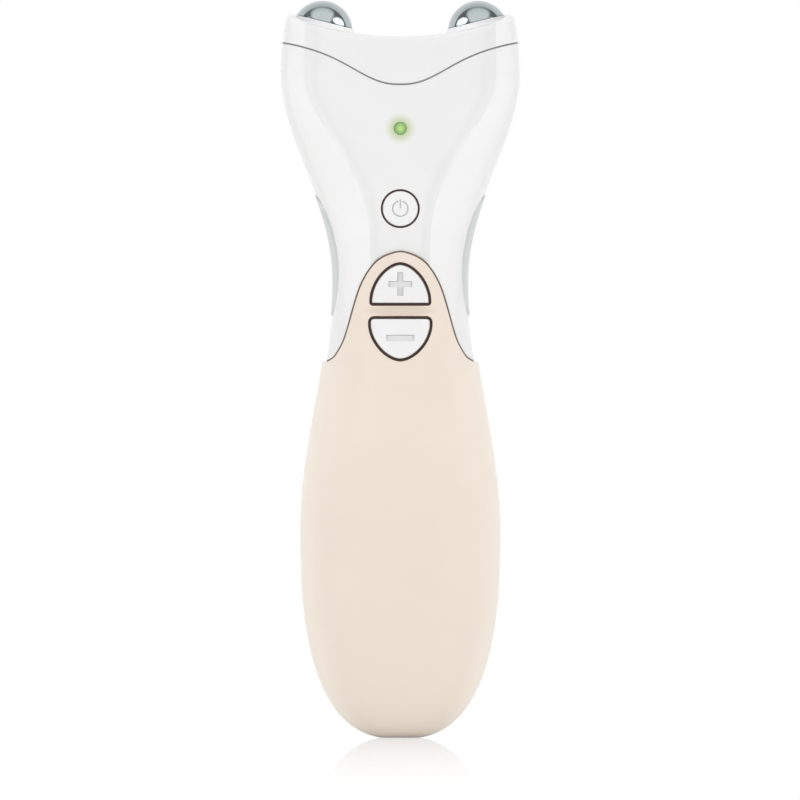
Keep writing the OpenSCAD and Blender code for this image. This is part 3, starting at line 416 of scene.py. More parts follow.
def pick(piece, wanted, what="FACE"):
    """Select the faces, or the edges by their ends, that a test picks, in edit mode."""
    mode("OBJECT")
    mesh = piece.data
    for group in (mesh.vertices, mesh.edges, mesh.polygons):
        group.foreach_set("select", [False] * len(group))
    if what == "FACE":
        for face in mesh.polygons:
            face.select = wanted(face)
    else:
        for edge in mesh.edges:
            edge.select = wanted(*(mesh.vertices[v].co for v in edge.vertices))
    mode("EDIT")
    bpy.ops.mesh.select_mode(type=what)


def all_in_edit(piece):
    only(piece)
    mode("EDIT")
    bpy.ops.mesh.select_all(action="SELECT")


def clean(piece, outward=True):
    """Merge doubled points, and turn the faces outwards."""
    all_in_edit(piece)
    bpy.ops.mesh.remove_doubles(threshold=1e-6)
    if outward:
        bpy.ops.mesh.normals_make_consistent(inside=False)
    mode("OBJECT")


def settle(piece):
    """Put the piece's place, turn and scale into its mesh."""
    only(piece)
    bpy.ops.object.transform_apply(location=True, rotation=True, scale=True)


def modify(piece, kind, **values):
    """Add a modifier and apply it."""
    only(piece)
    modifier = piece.modifiers.new(kind.title(), kind)
    for key, value in values.items():
        setattr(modifier, key, value)
    bpy.ops.object.modifier_apply(modifier=modifier.name)


def bevel(piece, width, segments=3):
    """Round every edge that is clearly sharp."""
    modify(piece, "BEVEL", width=width * MM, segments=segments, limit_method="ANGLE",
           angle_limit=math.radians(50), use_clamp_overlap=True, miter_outer="MITER_ARC")


def smooth(piece, angle=35):
    only(piece)
    bpy.ops.object.shade_smooth_by_angle(angle=math.radians(angle))


def combine(piece, tool, operation, **values):
    """Cut, join or trim a piece by a tool, and clear the tool away."""
    modify(piece, "BOOLEAN", object=tool, operation=operation, solver="EXACT", **values)
    bpy.data.objects.remove(tool)


def cut(piece, *tools):
    for tool in tools:
        combine(piece, tool, "DIFFERENCE")


def thicken(piece, thickness):
    modify(piece, "SOLIDIFY", thickness=thickness * MM, offset=-1, use_even_offset=False)


def join(*pieces):
    only(pieces[0])
    for piece in pieces:
        piece.select_set(True)
    bpy.context.view_layer.objects.active = pieces[0]
    bpy.ops.object.join()
    return bpy.context.object


def drawn_grid(name, columns, rows, at):
    """A grid laid on the form: at(u, v) gives its points, u and v running from 0 to 1."""
    bpy.ops.mesh.primitive_grid_add(x_subdivisions=columns, y_subdivisions=rows, size=2)
    piece = start(name)
    for vertex in piece.data.vertices:
        vertex.co = at((vertex.co.x + 1) / 2, (vertex.co.y + 1) / 2) * MM
    clean(piece, outward=False)
    return piece


def block(name, centre, size):
    bpy.ops.mesh.primitive_cube_add(size=1, location=tuple(c * MM for c in centre),
                                    scale=tuple(c * MM for c in size))
    piece = start(name)
    settle(piece)
    return piece


def rod(name, x, z, low, high, r, sides=48):
    """A round bar along Y, from one depth to another."""
    bpy.ops.mesh.primitive_cylinder_add(
        vertices=sides, radius=r * MM, depth=(high - low) * MM,
        location=(x * MM, (low + high) / 2 * MM, z * MM), rotation=(math.pi / 2, 0, 0))
    piece = start(name)
    settle(piece)
    return piece


def moved(piece, x, y, z, turn, axis):
    """Turn a piece about an axis through the origin, then move it, in its mesh."""
    piece.data.transform(Matrix.Translation(Vector((x, y, z)) * MM) @ Matrix.Rotation(turn, 4, axis))
    return piece


def outline_prism(name, points, low, high):
    """A prism along Y over an outline of (x, z) points, from one depth to another."""
    bpy.ops.mesh.primitive_circle_add(vertices=len(points), radius=1, fill_type="NGON")
    piece = start(name)
    for vertex, (x, z) in zip(piece.data.vertices, points):
        vertex.co = Vector((x, low, z)) * MM
    all_in_edit(piece)
    bpy.ops.mesh.extrude_region_move(
        TRANSFORM_OT_translate={"value": (0, (high - low) * MM, 0)})
    clean(piece)
    return piece


def lathe(name, profile, sides=96, closed=False):
    """A turned piece about Z: a profile of (radius, height) spun all the way round."""
    bpy.ops.mesh.primitive_circle_add(vertices=len(profile), radius=1)
    piece = start(name)
    for vertex, (r, h) in zip(piece.data.vertices, profile):
        vertex.co = Vector((r, 0, h)) * MM
    if not closed:
        ends = {0, len(profile) - 1}
        mesh = piece.data
        mode("OBJECT")
        for edge in mesh.edges:
            edge.select = set(edge.vertices) == ends
        mode("EDIT")
        bpy.ops.mesh.select_mode(type="EDGE")
        bpy.ops.mesh.delete(type="EDGE_FACE" if mesh.polygons else "EDGE")
        mode("OBJECT")
    all_in_edit(piece)
    bpy.ops.mesh.spin(steps=sides, angle=2 * math.pi, center=(0, 0, 0), axis=(0, 0, 1))
    clean(piece)
    return piece


def rounded_profile(points, radii, steps=5):
    """A closed profile with its corners rounded."""
    out = []
    count = len(points)
    for i, r in enumerate(radii):
        p = Vector(points[i])
        a = (Vector(points[i - 1]) - p).normalized()
        b = (Vector(points[(i + 1) % count]) - p).normalized()
        if r <= 0:
            out.append(tuple(p))
            continue
        half = a.angle(b) / 2
        reach = r / math.tan(half)
        centre = p + (a + b).normalized() * (r / math.sin(half))
        first, last = p + a * reach - centre, p + b * reach - centre
        for k in range(steps + 1):
            t = k / steps
            out.append(tuple(centre + first.slerp(last, t)))
    return out


# ---------------- materials

def node(tree, kind, **sockets):
    made = tree.nodes.new(kind)
    for key, value in sockets.items():
        made.inputs[key].default_value = value
    return made


def finish_of(name, roughness, **sockets):
    """A material with its shader, and the object coordinates that its patterns read."""
    material = bpy.data.materials.new(name)
    material.use_nodes = True
    tree = material.node_tree
    shader = tree.nodes["Principled BSDF"]
    shader.inputs["Roughness"].default_value = roughness
    for key, value in sockets.items():
        shader.inputs[key.replace("_", " ")].default_value = value
    coords = tree.nodes.new("ShaderNodeTexCoord").outputs["Object"]
    return material, tree, shader, coords


def feed(tree, shader, **sources):
    """Link values to the shader's sockets, by the sockets' names."""
    for key, source in sources.items():
        tree.links.new(source, shader.inputs[key.replace("_", " ")])


def noise(tree, coords, scale, detail=3.0, stretch=(1, 1, 1)):
    """A noise pattern with so many cells to a metre, stretched along the axes."""
    mapping = node(tree, "ShaderNodeMapping", Scale=stretch)
    tree.links.new(coords, mapping.inputs["Vector"])
    made = node(tree, "ShaderNodeTexNoise", Scale=scale, Detail=detail)
    tree.links.new(mapping.outputs["Vector"], made.inputs["Vector"])
    return made.outputs["Fac"]


def spread(tree, value, low, high, from_low=0.35, from_high=0.65):
    made = node(tree, "ShaderNodeMapRange", **{
        "From Min": from_low, "From Max": from_high, "To Min": low, "To Max": high})
    tree.links.new(value, made.inputs["Value"])
    return made.outputs["Result"]


def tint(tree, value, dark, light):
    """A colour between two tones, by a value from 0 to 1."""
    made = tree.nodes.new("ShaderNodeMix")
    made.data_type = "RGBA"
    made.inputs["A"].default_value = (*dark, 1)
    made.inputs["B"].default_value = (*light, 1)
    tree.links.new(value, made.inputs["Factor"])
    return made.outputs["Result"]


def bump(tree, shader, height, distance):
    made = node(tree, "ShaderNodeBump", Strength=1.0, Distance=distance)
    tree.links.new(height, made.inputs["Height"])
    tree.links.new(made.outputs["Normal"], shader.inputs["Normal"])


def vector_node(tree, operation, value, other=(0, 0, 0)):
    made = tree.nodes.new("ShaderNodeVectorMath")
    made.operation = operation
    made.inputs[1].default_value = other
    tree.links.new(value, made.inputs[0])
    return made


def math_node(tree, operation, a, b):
    """A sum, product or the like of two values, either of which may be a number."""
    made = tree.nodes.new("ShaderNodeMath")
    made.operation = operation
    for socket, value in zip(made.inputs, (a, b)):
        if isinstance(value, (int, float)):
            socket.default_value = value
        else:
            tree.links.new(value, socket)
    return made.outputs[0]


def mixed(tree, share, under, over):
    """Two shaders mixed by a value from 0 to 1."""
    made = tree.nodes.new("ShaderNodeMixShader")
    tree.links.new(share, made.inputs["Fac"])
    tree.links.new(under.outputs[0], made.inputs[1])
    tree.links.new(over.outputs[0], made.inputs[2])
    return made


def near(tree, coords, centre, inner, outer):
    """1 within a radius of a point, falling to 0 at another, in millimetres."""
    distance = vector_node(tree, "DISTANCE", coords, Vector(centre) * MM)
    made = node(tree, "ShaderNodeMapRange", **{
        "From Min": inner * MM, "From Max": outer * MM, "To Min": 1.0, "To Max": 0.0})
    made.interpolation_type = "SMOOTHERSTEP"
    tree.links.new(distance.outputs["Value"], made.inputs["Value"])
    return made.outputs["Result"]


def soft(light, shade=0.97):
    return tuple(c * shade for c in light)


def moulded(name, colour, roughness=0.3, grain=2400.0, depth=0.004, mottle=40.0, **sockets):
    """Moulded plastic: a faint mottle, a varying gloss and the texture of the tool."""
    material, tree, shader, coords = finish_of(name, roughness, **sockets)
    broad = noise(tree, coords, mottle)
    fine = noise(tree, coords, grain, 2.0)
    feed(tree, shader, Base_Color=tint(tree, spread(tree, broad, 0, 1), soft(colour), colour),
         Roughness=spread(tree, fine, roughness * 0.88, roughness * 1.12))
    bump(tree, shader, fine, depth * MM)
    return material


def base_of(material):
    """A material's tree and coordinates, the socket of its colour, and the colour so far."""
    tree = material.node_tree
    coords = next(n for n in tree.nodes if n.type == "TEX_COORD").outputs["Object"]
    base = tree.nodes["Principled BSDF"].inputs["Base Color"]
    return tree, coords, base, base.links[0].from_socket


def facing(tree):
    return node(tree, "ShaderNodeLayerWeight", Blend=0.5).outputs["Facing"]


def gloss_white_with_painted_shade(name, colour):
    """Glossy white with a painted shade: where it is seen aslant, its colour is made a shade darker,
    as for a wall that turns away from the light.
    """
    material = moulded(name, colour, **WHITE_GLOSS)
    tree, _, base, plain = base_of(material)
    # painted shade: a shade darker where the wall is seen aslant
    painted_slant_shade = spread(tree, facing(tree), 0, 1, 0.16, 0.46)
    tree.links.new(blend(tree, painted_slant_shade, plain, soft(colour, 0.96)), base)
    return material


def panel_with_painted_glow(name, colour):
    """White, with a painted glow: a green tint in the wall around the indicator, as if lit by it."""
    material = moulded(name, colour, **WHITE_GLOSS)
    tree, coords, base, plain = base_of(material)
    painted_glow = near(tree, coords, (0, -LED_D, LED_Z), LED_R * 0.85, LED_R * 2.9)
    # painted glow of the indicator: a green tint that fades outwards
    tree.links.new(blend(tree, painted_glow, plain, (0.60, 0.68, 0.43)), base)
    return material


def soft_touch(name, colour):
    """Soft coating with a sheen, a painted sheen that makes its colour paler where it is seen
    aslant, and a painted shade, darker in the narrow band between the keys, where the raised keys
    shade it."""
    material = moulded(name, colour, 0.52, 3200.0, 0.012, 26.0,
                       Sheen_Weight=0.2, Sheen_Roughness=0.5)
    tree, coords, base, plain = base_of(material)
    pressed = vector_node(tree, "MULTIPLY", coords, (0.2, 0, 1))
    # painted shade between the keys, where they shade the grip
    key_gap_shade = near(tree, pressed.outputs[0], (0, 0, (PLUS_Z + MINUS_Z) / 2), 0.7, 2.0)
    key_gap_shade_colour = tuple(c * share for c, share in zip(colour, (0.86, 0.82, 0.80)))
    # painted sheen: a paler beige where the grip is seen aslant
    painted_sheen = blend(tree, facing(tree), plain, BEIGE_PAINTED_SHEEN)
    tree.links.new(blend(tree, key_gap_shade, painted_sheen, key_gap_shade_colour), base)
    return material


def brushed(name, colour, roughness=0.32, along=(1, 1, 60), scale=900.0):
    """Metal with fine lines drawn across it."""
    material, tree, shader, coords = finish_of(name, roughness, Metallic=1.0)
    lines = noise(tree, coords, scale, 4.0, along)
    feed(tree, shader,
         Base_Color=tint(tree, spread(tree, lines, 0, 1), soft(colour, 0.9), colour),
         Roughness=spread(tree, lines, roughness * 0.8, roughness * 1.25))
    bump(tree, shader, lines, 0.002 * MM)
    return material


def polished(name, colour, roughness=0.06):
    """Plated metal with the faintest polishing haze, and a painted shade: a dark ring where the dome
    meets its collar.
    """
    material, tree, shader, coords = finish_of(name, roughness, Metallic=1.0)
    haze = noise(tree, coords, 260.0, 2.0)
    plating = tint(tree, spread(tree, haze, 0, 1), soft(colour, 0.95), colour)
    # painted shade: the dark ring where the dome meets its collar
    feed(tree, shader,
         Base_Color=blend(tree, painted_seat_shade(tree, coords), plating, (0.12, 0.13, 0.13)),
         Roughness=spread(tree, haze, roughness * 0.8, roughness * 1.4))
    return material


def blend(tree, value, under, colour):
    """A colour laid over the one from another node, by a value from 0 to 1."""
    made = tree.nodes.new("ShaderNodeMix")
    made.data_type = "RGBA"
    made.inputs["B"].default_value = (*colour, 1)
    tree.links.new(value, made.inputs["Factor"])
    tree.links.new(under, made.inputs["A"])
    return made.outputs["Result"]


def painted_seat_shade(tree, coords):
    """1 in the narrow ring where a dome meets its collar, on either side of the head, where a dark
    shade is painted.
    """
    folded = vector_node(tree, "ABSOLUTE", coords)
    height = vector_node(tree, "DOT_PRODUCT", folded.outputs[0],
                         (-math.sin(DOME_TILT), 0, math.cos(DOME_TILT)))
    rim = ((HEAD_TOP_Z + HEAD_TOP_R) * math.cos(DOME_TILT) - HEAD_TOP_R + COLLAR_H) * MM
    return spread(tree, height.outputs["Value"], 1, 0, rim + 0.0001, rim + 0.00022)


def banded_cell(name):
    """A battery: a printed sleeve, blue below the middle of the batteries' height and a plain pale
    grey above.
    """
    material, tree, shader, coords = finish_of(name, 0.28, Metallic=0.6)
    low, high = (c[2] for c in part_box("batteries"))
    height = tree.nodes.new("ShaderNodeSeparateXYZ")
    tree.links.new(coords, height.inputs["Vector"])
    band = spread(tree, height.outputs["Z"], 0, 1, (low + high) / 2 - 0.0004, (low + high) / 2)
    scuffs = noise(tree, coords, 300.0, 3.0, (1, 1, 8))
    feed(tree, shader, Base_Color=tint(tree, band, (0.09, 0.24, 0.40), (0.62, 0.64, 0.66)),
         Roughness=spread(tree, scuffs, 0.22, 0.36))
    return material


def lit_lens(name):
    """A clear green lens, lit from behind and brightest in its middle."""
    material, tree, shader, coords = finish_of(name, 0.18, Specular_IOR_Level=0.5)
    core = near(tree, coords, (0, -LED_D - 0.3, LED_Z), 0, LED_R * 1.05)
    colour = tint(tree, core, (0.22, 0.44, 0.14), (0.46, 0.66, 0.21))
    feed(tree, shader, Base_Color=colour, Emission_Color=colour)
    shader.inputs["Emission Strength"].default_value = 0.1
    return material


WHITE_GLOSS = {"roughness": 0.22, "grain": 1800.0, "depth": 0.0025}
WHITE = (0.915, 0.915, 0.913)
# painted shade: the sunk panel's white, a shade darker than the housing's
PANEL_WHITE_PAINTED_SHADE = (0.868, 0.868, 0.867)
BEIGE = (0.883, 0.777, 0.675)
# painted sheen: the paler beige where the grip is seen aslant
BEIGE_PAINTED_SHEEN = (0.98, 0.90, 0.79)

MATERIALS = {
    "white_housing": gloss_white_with_painted_shade("white_gloss", WHITE),
    "white_key": moulded("white_satin", (0.895, 0.895, 0.893), 0.34, 2600.0, 0.004),
    "grip": soft_touch("soft_touch_beige", BEIGE),
    "inlay": brushed("brushed_silver", (0.75, 0.78, 0.775), 0.4),
    "dome": polished("polished_plate", (0.475, 0.528, 0.533), 0.08),
    # rubber of the seam gaskets, whose dark colour also paints the shade of the seams' gaps
    "gasket": moulded("grey_rubber", (0.22, 0.22, 0.22), 0.7),
    "grip_gasket": moulded("brown_rubber", (0.16, 0.11, 0.08), 0.7),
    # rubber of the keys' seals, whose dark colour also paints the shade of the gaps round the keys
    "seal": moulded("dark_rubber", (0.040, 0.016, 0.009), 0.5),
    "lens": lit_lens("green_lens"),
    "led": moulded("light_die", (0.9, 0.85, 0.45), 0.3),
    "inner_plastic": moulded("natural_plastic", (0.66, 0.65, 0.62), 0.45, 1500.0, 0.01),
    "board": moulded("green_mask", (0.015, 0.10, 0.035), 0.3, 900.0, 0.01, 160.0),
    "black_part": moulded("black_resin", (0.02, 0.02, 0.021), 0.5, 1800.0, 0.01),
    "ferrite": moulded("ferrite", (0.05, 0.05, 0.053), 0.6, 900.0, 0.02),
    "copper": brushed("enamelled_copper", (0.72, 0.36, 0.18), 0.3, (1, 90, 1), 700.0),
    "contact": brushed("gold_contact", (0.78, 0.60, 0.28), 0.25),
    "steel": brushed("zinc_steel", (0.62, 0.62, 0.63), 0.28, (1, 12, 1), 600.0),
    "capacitor": moulded("blue_sleeve", (0.02, 0.035, 0.12), 0.28),
    "cell": banded_cell("cell_sleeve"),
    "wire": moulded("red_insulation", (0.42, 0.02, 0.015), 0.45),
}
PANEL_MATERIAL = panel_with_painted_glow("white_panel_painted_shade_and_glow", PANEL_WHITE_PAINTED_SHADE)
# the collars' matt white, a shade lighter than the housing's: painted light against the shade on
# their hollow flanks
RING_MATERIAL = moulded("white_matt_ring_painted_light", (0.945, 0.945, 0.943), 0.45, 1800.0, 0.0025)
# painted shade of the moulded signs: a darker white for their floors, a grey for their walls
SIGN_FLOOR_SHADE_MATERIAL = moulded("white_matt_sign_painted_shade", (0.82, 0.815, 0.815), 0.5, 2600.0, 0.004)
SIGN_DARK_SHADE_MATERIAL = moulded("grey_sign_painted_shade", (0.5, 0.5, 0.51), 0.5, 2600.0, 0.004)
SLOT_OF = {entry["node"]: entry["material_slot"] for entry in frame["record"]["subparts"]}
BODY_OF = {name: body for body, names in frame["record"]["behaviour"]["bodies"].items()
           for name in names}


def stand_for(piece, *nodes, material=None, angle=35):
    """Finish a piece that replaces CAD nodes: it takes their body, slot and material."""
    smooth(piece, angle)
    slot = SLOT_OF[nodes[0]]
    piece.data.materials.clear()
    piece.data.materials.append(material or MATERIALS[slot])
    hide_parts(*nodes)
    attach(piece, BODY_OF[nodes[0]])
    return piece


# ---------------- housings

def finish_panel(piece):
    """Keep the crease round the sunk panel crisp, and give the panel its own white, a shade darker
    than the rest as painted shade of the sunk panel, with the painted glow round the indicator.
    """
    def on_crease(*ends):
        return all(p.y < -INSIDE_D * MM and p.z > WAIST_Z * MM
                   and abs(abs(p.x) - flat_w(p.z / MM) * MM) < 0.05 * MM for p in ends)

    only(piece)
    pick(piece, on_crease, "EDGE")
    bpy.ops.mesh.mark_sharp()
    mode("OBJECT")
    piece.data.materials.append(PANEL_MATERIAL)
    for face in piece.data.polygons:
        x, y, z = face.center / MM
        if y < -INSIDE_D and abs(x) < flat_w(z):
            face.material_index = 1


def housing_wall(piece, edge=EDGE_R):
    """Give a sheet on the form its wall, and round its edges."""
    thicken(piece, WALL)
    bevel(piece, edge)


def leaf_height(share):
    """Heights along the side inlay that crowd towards its tips, as shares of its length."""
    return share - 0.8 * math.sin(2 * math.pi * share) / (2 * math.pi)


def leaf_reach(t):
    """Half the inlay's depth at a share of its length: it reaches as far round the waist as
    its crescent shows from the front."""
    z = INLAY_LOW_Z + INLAY_L * t
    shows = INLAY_SHOWS * (0.88 + 0.24 * t) * (1 - abs(2 * t - 1) ** 3.3)
    turned, n = 1 - shows / (half_w(z) - flat_w(z)), flank_n(z)
    return front_d(z) * (1 - turned ** n) ** (1 / n) + 0.15


def leaf(margin):
    """The side inlay's outline, as (depth, height) points going round."""
    right = []
    for j in range(LEAF_STEPS + 1):
        t = leaf_height(j / LEAF_STEPS)
        tip = 2 * t - 1 if j in (0, LEAF_STEPS) else 0
        right.append((leaf_reach(t) + margin, INLAY_LOW_Z + INLAY_L * t + 2 * tip * margin))
    return right + [(-y, z) for y, z in reversed(right)]


def leaf_windows():
    """The tool that cuts the inlays' windows, right through both sides."""
    tools = []
    for side in (1, -1):
        tool = outline_prism("window", leaf(INLAY_SEAM), WINDOW_FROM, HEAD_HW + 1)
        tool.data.transform(Matrix.Rotation(-side * math.pi / 2, 4, "Z"))
        clean(tool)
        tools.append(tool)
    return tools


def front_shell():
    def at(u, v):
        s = 2 * u - 1
        low_s, low_z = tongue_at(s, SEAM)
        high_z = cap_seam(head_x(s)) - CAP_LINE / 2
        return front_point(between(low_s, s, v), between(low_z, high_z, v))

    piece = drawn_grid("front_housing", 200, 100, at)
    housing_wall(piece)
    cut(piece, *leaf_windows(),
        rod("hole", 0, POWER_Z, -FACE_D - 1, -INSIDE_D, POWER_HOLE_R),
        rod("hole", 0, LED_Z, -FACE_D - 1, -INSIDE_D, LED_R + FIT))
    stand_for(piece, "front_shell")
    finish_panel(piece)


def rear_shell():
    def at(u, v):
        s = 1 - 2 * u
        high_z = cap_seam(head_x(s)) - CAP_LINE / 2
        return back_point(s, between(GRIP_TOP_Z + LIP + SEAM, high_z, v))

    piece = drawn_grid("rear_housing", 120, 80, at)
    housing_wall(piece)
    cut(piece, *leaf_windows())
    places = (-CASE_SCREW_X, CASE_SCREW_X)
    for x in places:
        cut(piece, rod("well", x, CASE_SCREW_Z, WELL_FLOOR, HEAD_BACK_D + 1, WELL_R))
    wells = [screw_well(x, CASE_SCREW_Z, HEAD_BACK_D - 1.2) for x in places]
    return stand_for(join(piece, *wells), "rear_shell")


def screw_well(x, z, mouth):
    """A tube with a floor, in which a screw's head lies."""
    shank, outer = 1.0, WELL_R + WELL_T
    profile = [(shank, WELL_FLOOR), (WELL_R, WELL_FLOOR), (WELL_R, mouth), (outer, mouth),
               (outer, WELL_FOOT), (shank, WELL_FOOT)]
    tube = lathe("well_tube", rounded_profile(profile, [0, 0.2, 0, 0, 0.2, 0]), 48, closed=True)
    moved(tube, x, 0, z, -math.pi / 2, "X")
    clean(tube)
    return tube


def head_cap():
    """The cap's wall runs round front and back, over its rounded edge and across its hollow top."""
    wall_share, edge_share = 0.55, 0.8

    def at(u, v):
        front, s = on_loop(u)
        x = head_x(s)
        low = cap_seam(x) + CAP_LINE / 2
        top = top_height(x)
        if v <= wall_share:
            z, side = between(low, top - TOP_EDGE_R, v / wall_share), 0.0
        else:
            turn = math.pi / 2 * min(1, (v - wall_share) / (edge_share - wall_share))
            z = top - TOP_EDGE_R * (1 - math.sin(turn))
            side = -TOP_EDGE_R * (1 - math.cos(turn))
        point = loop_point(front, s, z, side)
        if v > edge_share:
            reach = (v - edge_share) / (1 - edge_share)
            point.y *= 1 - reach
        return point

    piece = drawn_grid("cap_of_head", 240, 40, at)
    clean(piece, outward=False)
    housing_wall(piece)
    hole_r, low, high = COLLAR_R + BORE_GAP, -9, 4
    profile = [(0.001, low), (hole_r, low), (hole_r, high), (0.001, high)]
    holes = [set_at_dome(lathe("hole", profile), side) for side in (-1, 1)]
    # the thick wall crosses itself at the rim, so the solver looks for that as well
    combine(piece, join(*holes), "DIFFERENCE", use_self=True)
    stand_for(piece, "head_cap")
    finish_panel(piece)


# ---------------- grip

def grip_height(t, low, high):
    """Heights that crowd towards the rounded butt."""
    return between(low, high, 1 - math.cos(math.pi / 2 * t))


def grip_half(name, column, columns=128, rows=150):
    """A half of the grip: its floor at the butt, then its wall up to the grip's top."""
    def at(u, v):
        if v < FLOOR_SHARE:
            point = column(u, 0.0)
            reach = v / FLOOR_SHARE
            return Vector((point.x * reach, point.y * reach, point.z))
        return column(u, (v - FLOOR_SHARE) / (1 - FLOOR_SHARE))

    piece = drawn_grid(name, columns, rows, at)
    housing_wall(piece, GRIP_EDGE_R)
    return piece


def front_grip():
    def column(u, t):
        column_s = 2 * u - 1
        high_s, high_z = tongue_at(column_s, GRIP_LINE_LOW, FACE_PROUD)
        high_z -= LIP * corner(column_s)
        rise = 1 - math.cos(math.pi / 2 * t)
        s, z = between(column_s, high_s, rise), between(0, high_z, rise)
        return front_point(s, z, grip_side(s, z), FACE_PROUD, rounded=True, sunk=False)

    piece = grip_half("front_of_grip", column)
    for outline_of_key in (plus_outline, minus_outline):
        cut(piece, outline_prism("key_hole", outline_of_key(0), -TONGUE_D - 1, -INSIDE_D - 1))
    return stand_for(piece, "front_grip")


def cover_outline(margin):
    """The battery cover's rounded rectangle, drawn in by a margin, as (x, z) points."""
    r = COVER_R
    low, high = COVER_LOW_Z + margin, COVER_TOP_Z - margin
    half = COVER_W / 2 - margin
    corners = [(half - r, high - r, 0), (-half + r, high - r, 90),
               (-half + r, low + r, 180), (half - r, low + r, 270)]
    return [p for x, z, first in corners for p in quarter(x, z, r, first, 12)]


def back_of_grip(x, z, lift=0.0):
    """A place on the grip's back, by its distance from the middle and its height."""
    e = butt(z)
    s = place(abs(x), e * flat_w(z), e * (half_w(z) + SIDE_PROUD), flank_n(z))
    return Vector((x, drop(s, flank_n(z)) * e * (back_d(z) + FACE_PROUD) + lift, z))


def sheet_on_back(name, columns, rows, lift=0.0):
    """A sheet on the grip's back, a little larger than the battery cover."""
    half, low, high = COVER_W / 2 + COVER_SPARE, COVER_LOW_Z - COVER_SPARE, COVER_TOP_Z + COVER_SPARE
    return drawn_grid(name, columns, rows, lambda u, v: back_of_grip(
        (1 - 2 * u) * half, between(low, high, v), lift))


def rear_grip():
    def column(u, t):
        s = 1 - 2 * u
        high_z = GRIP_TOP_Z + LIP * (1 - corner(s))
        return back_point(s, grip_height(t, 0, high_z), SIDE_PROUD, FACE_PROUD, rounded=True)

    piece = grip_half("rear_of_grip", column)
    cut(piece, outline_prism("cover_hole", cover_outline(LEDGE_W), 3, BELLY_BACK_D + 2))
    lift = 3
    recess = sheet_on_back("recess", 40, 90, lift)
    thicken(recess, COVER_T + lift + 0.05)
    combine(recess, outline_prism("edge", cover_outline(0), 3, BELLY_BACK_D + 6), "INTERSECT")
    cut(piece, recess, rod("well", 0, GRIP_SCREW_Z, WELL_FLOOR, BELLY_BACK_D + 1, WELL_R))
    return stand_for(join(piece, screw_well(0, GRIP_SCREW_Z, 10.2)), "rear_grip")


def battery_cover():
    piece = sheet_on_back("cover_of_batteries", 60, 130)
    thicken(piece, COVER_T)
    combine(piece, outline_prism("edge", cover_outline(SEAM), 3, BELLY_BACK_D + 6), "INTERSECT")
    bevel(piece, GRIP_EDGE_R)
    notch_z = COVER_TOP_Z - NOTCH_DOWN
    notch_y = back_of_grip(0, notch_z).y + NOTCH_R - NOTCH_SINK
    notch = rod("notch", 0, 0, -BAR_W / 2, BAR_W / 2, NOTCH_R, 96)
    cut(piece, moved(notch, 0, notch_y, notch_z, math.pi / 2, "Z"))
    bars = []
    for k in range(1, 4):
        z = COVER_TOP_Z - 2 * NOTCH_DOWN - BAR_STEP * k
        bar = rod("bar", 0, 0, -BAR_W / 2, BAR_W / 2, BAR_R, 24)
        bevel(bar, 0.3)
        bars.append(moved(bar, 0, back_of_grip(0, z).y - BAR_SINK, z, math.pi / 2, "Z"))
    inset = LEDGE_W + FIT
    rim = outline_prism("rim", cover_outline(inset), 10.4, BELLY_BACK_D)
    cut(rim, outline_prism("rim_hole", cover_outline(inset + COVER_RIM_T), 9, BELLY_BACK_D + 2))
    under = sheet_on_back("under", 30, 60, -COVER_T + 0.2)
    thicken(under, 1.8)
    combine(rim, under, "INTERSECT")
    return stand_for(join(piece, rim, *bars), "battery_cover")


# ---------------- side inlays

def hand_of(side):
    return "right" if side > 0 else "left"


def side_inlay(side):
    def at(u, v):
        t = leaf_height(v)
        z = INLAY_LOW_Z + INLAY_L * t
        y = (2 * u - 1) * leaf_reach(t)
        d = front_d(z) if y < 0 else back_d(z)
        turn = (1 - min(1, abs(y) / d) ** flank_n(z)) ** (1 / flank_n(z))
        x = flat_w(z) + (half_w(z) - flat_w(z)) * turn
        return Vector((side * (x + INLAY_PROUD), side * y, z))

    piece = drawn_grid(hand_of(side) + "_leaf", 36, LEAF_STEPS, at)
    all_in_edit(piece)
    bpy.ops.mesh.extrude_region_move(TRANSFORM_OT_translate={"value": (-side * INLAY_T * MM, 0, 0)})
    clean(piece)
    bevel(piece, 0.08, 2)
    return stand_for(piece, hand_of(side) + "_side_inlay")


# ---------------- seams

def gasket(name, node_name, low, high, ring):
    """A flat hoop in a seam: its section swept round by a grid of four sides. It lies just below the
    skin, so its dark colour also paints the shade of the gap.
    """
    def at(u, v):
        front, s = on_loop(u % 1.0)
        edge = int(round(v * 4)) % 4
        side = -GASKET_LOW_BY if edge in (0, 1) else -GASKET_INNER_D
        return ring(front, s, high if edge in (1, 2) else low, side)

    piece = drawn_grid(name, 220, 4, at)
    clean(piece)
    return stand_for(piece, node_name)


def cap_ring(front, s, rise, side):
    return loop_point(front, s, cap_seam(head_x(s)) + rise, side)


def grip_ring(front, s, rise, side):
    if front:
        at_s, z = tongue_at(s, rise)
        return front_point(at_s, z, side, side, sunk=False)
    return back_point(s, GRIP_TOP_Z + LIP + max(rise, 0.01), side, side)


# ---------------- electrodes

def set_at_dome(piece, side):
    """Move a piece from a dome's own frame to its place on the hollow top."""
    centre = Vector((0, 0, HEAD_TOP_Z + HEAD_TOP_R)) * MM
    piece.data.transform(Matrix.Translation(centre) @ Matrix.Rotation(-side * DOME_TILT, 4, "Y")
                         @ Matrix.Translation(Vector((0, 0, -HEAD_TOP_R)) * MM))
    piece.data.update()
    return piece


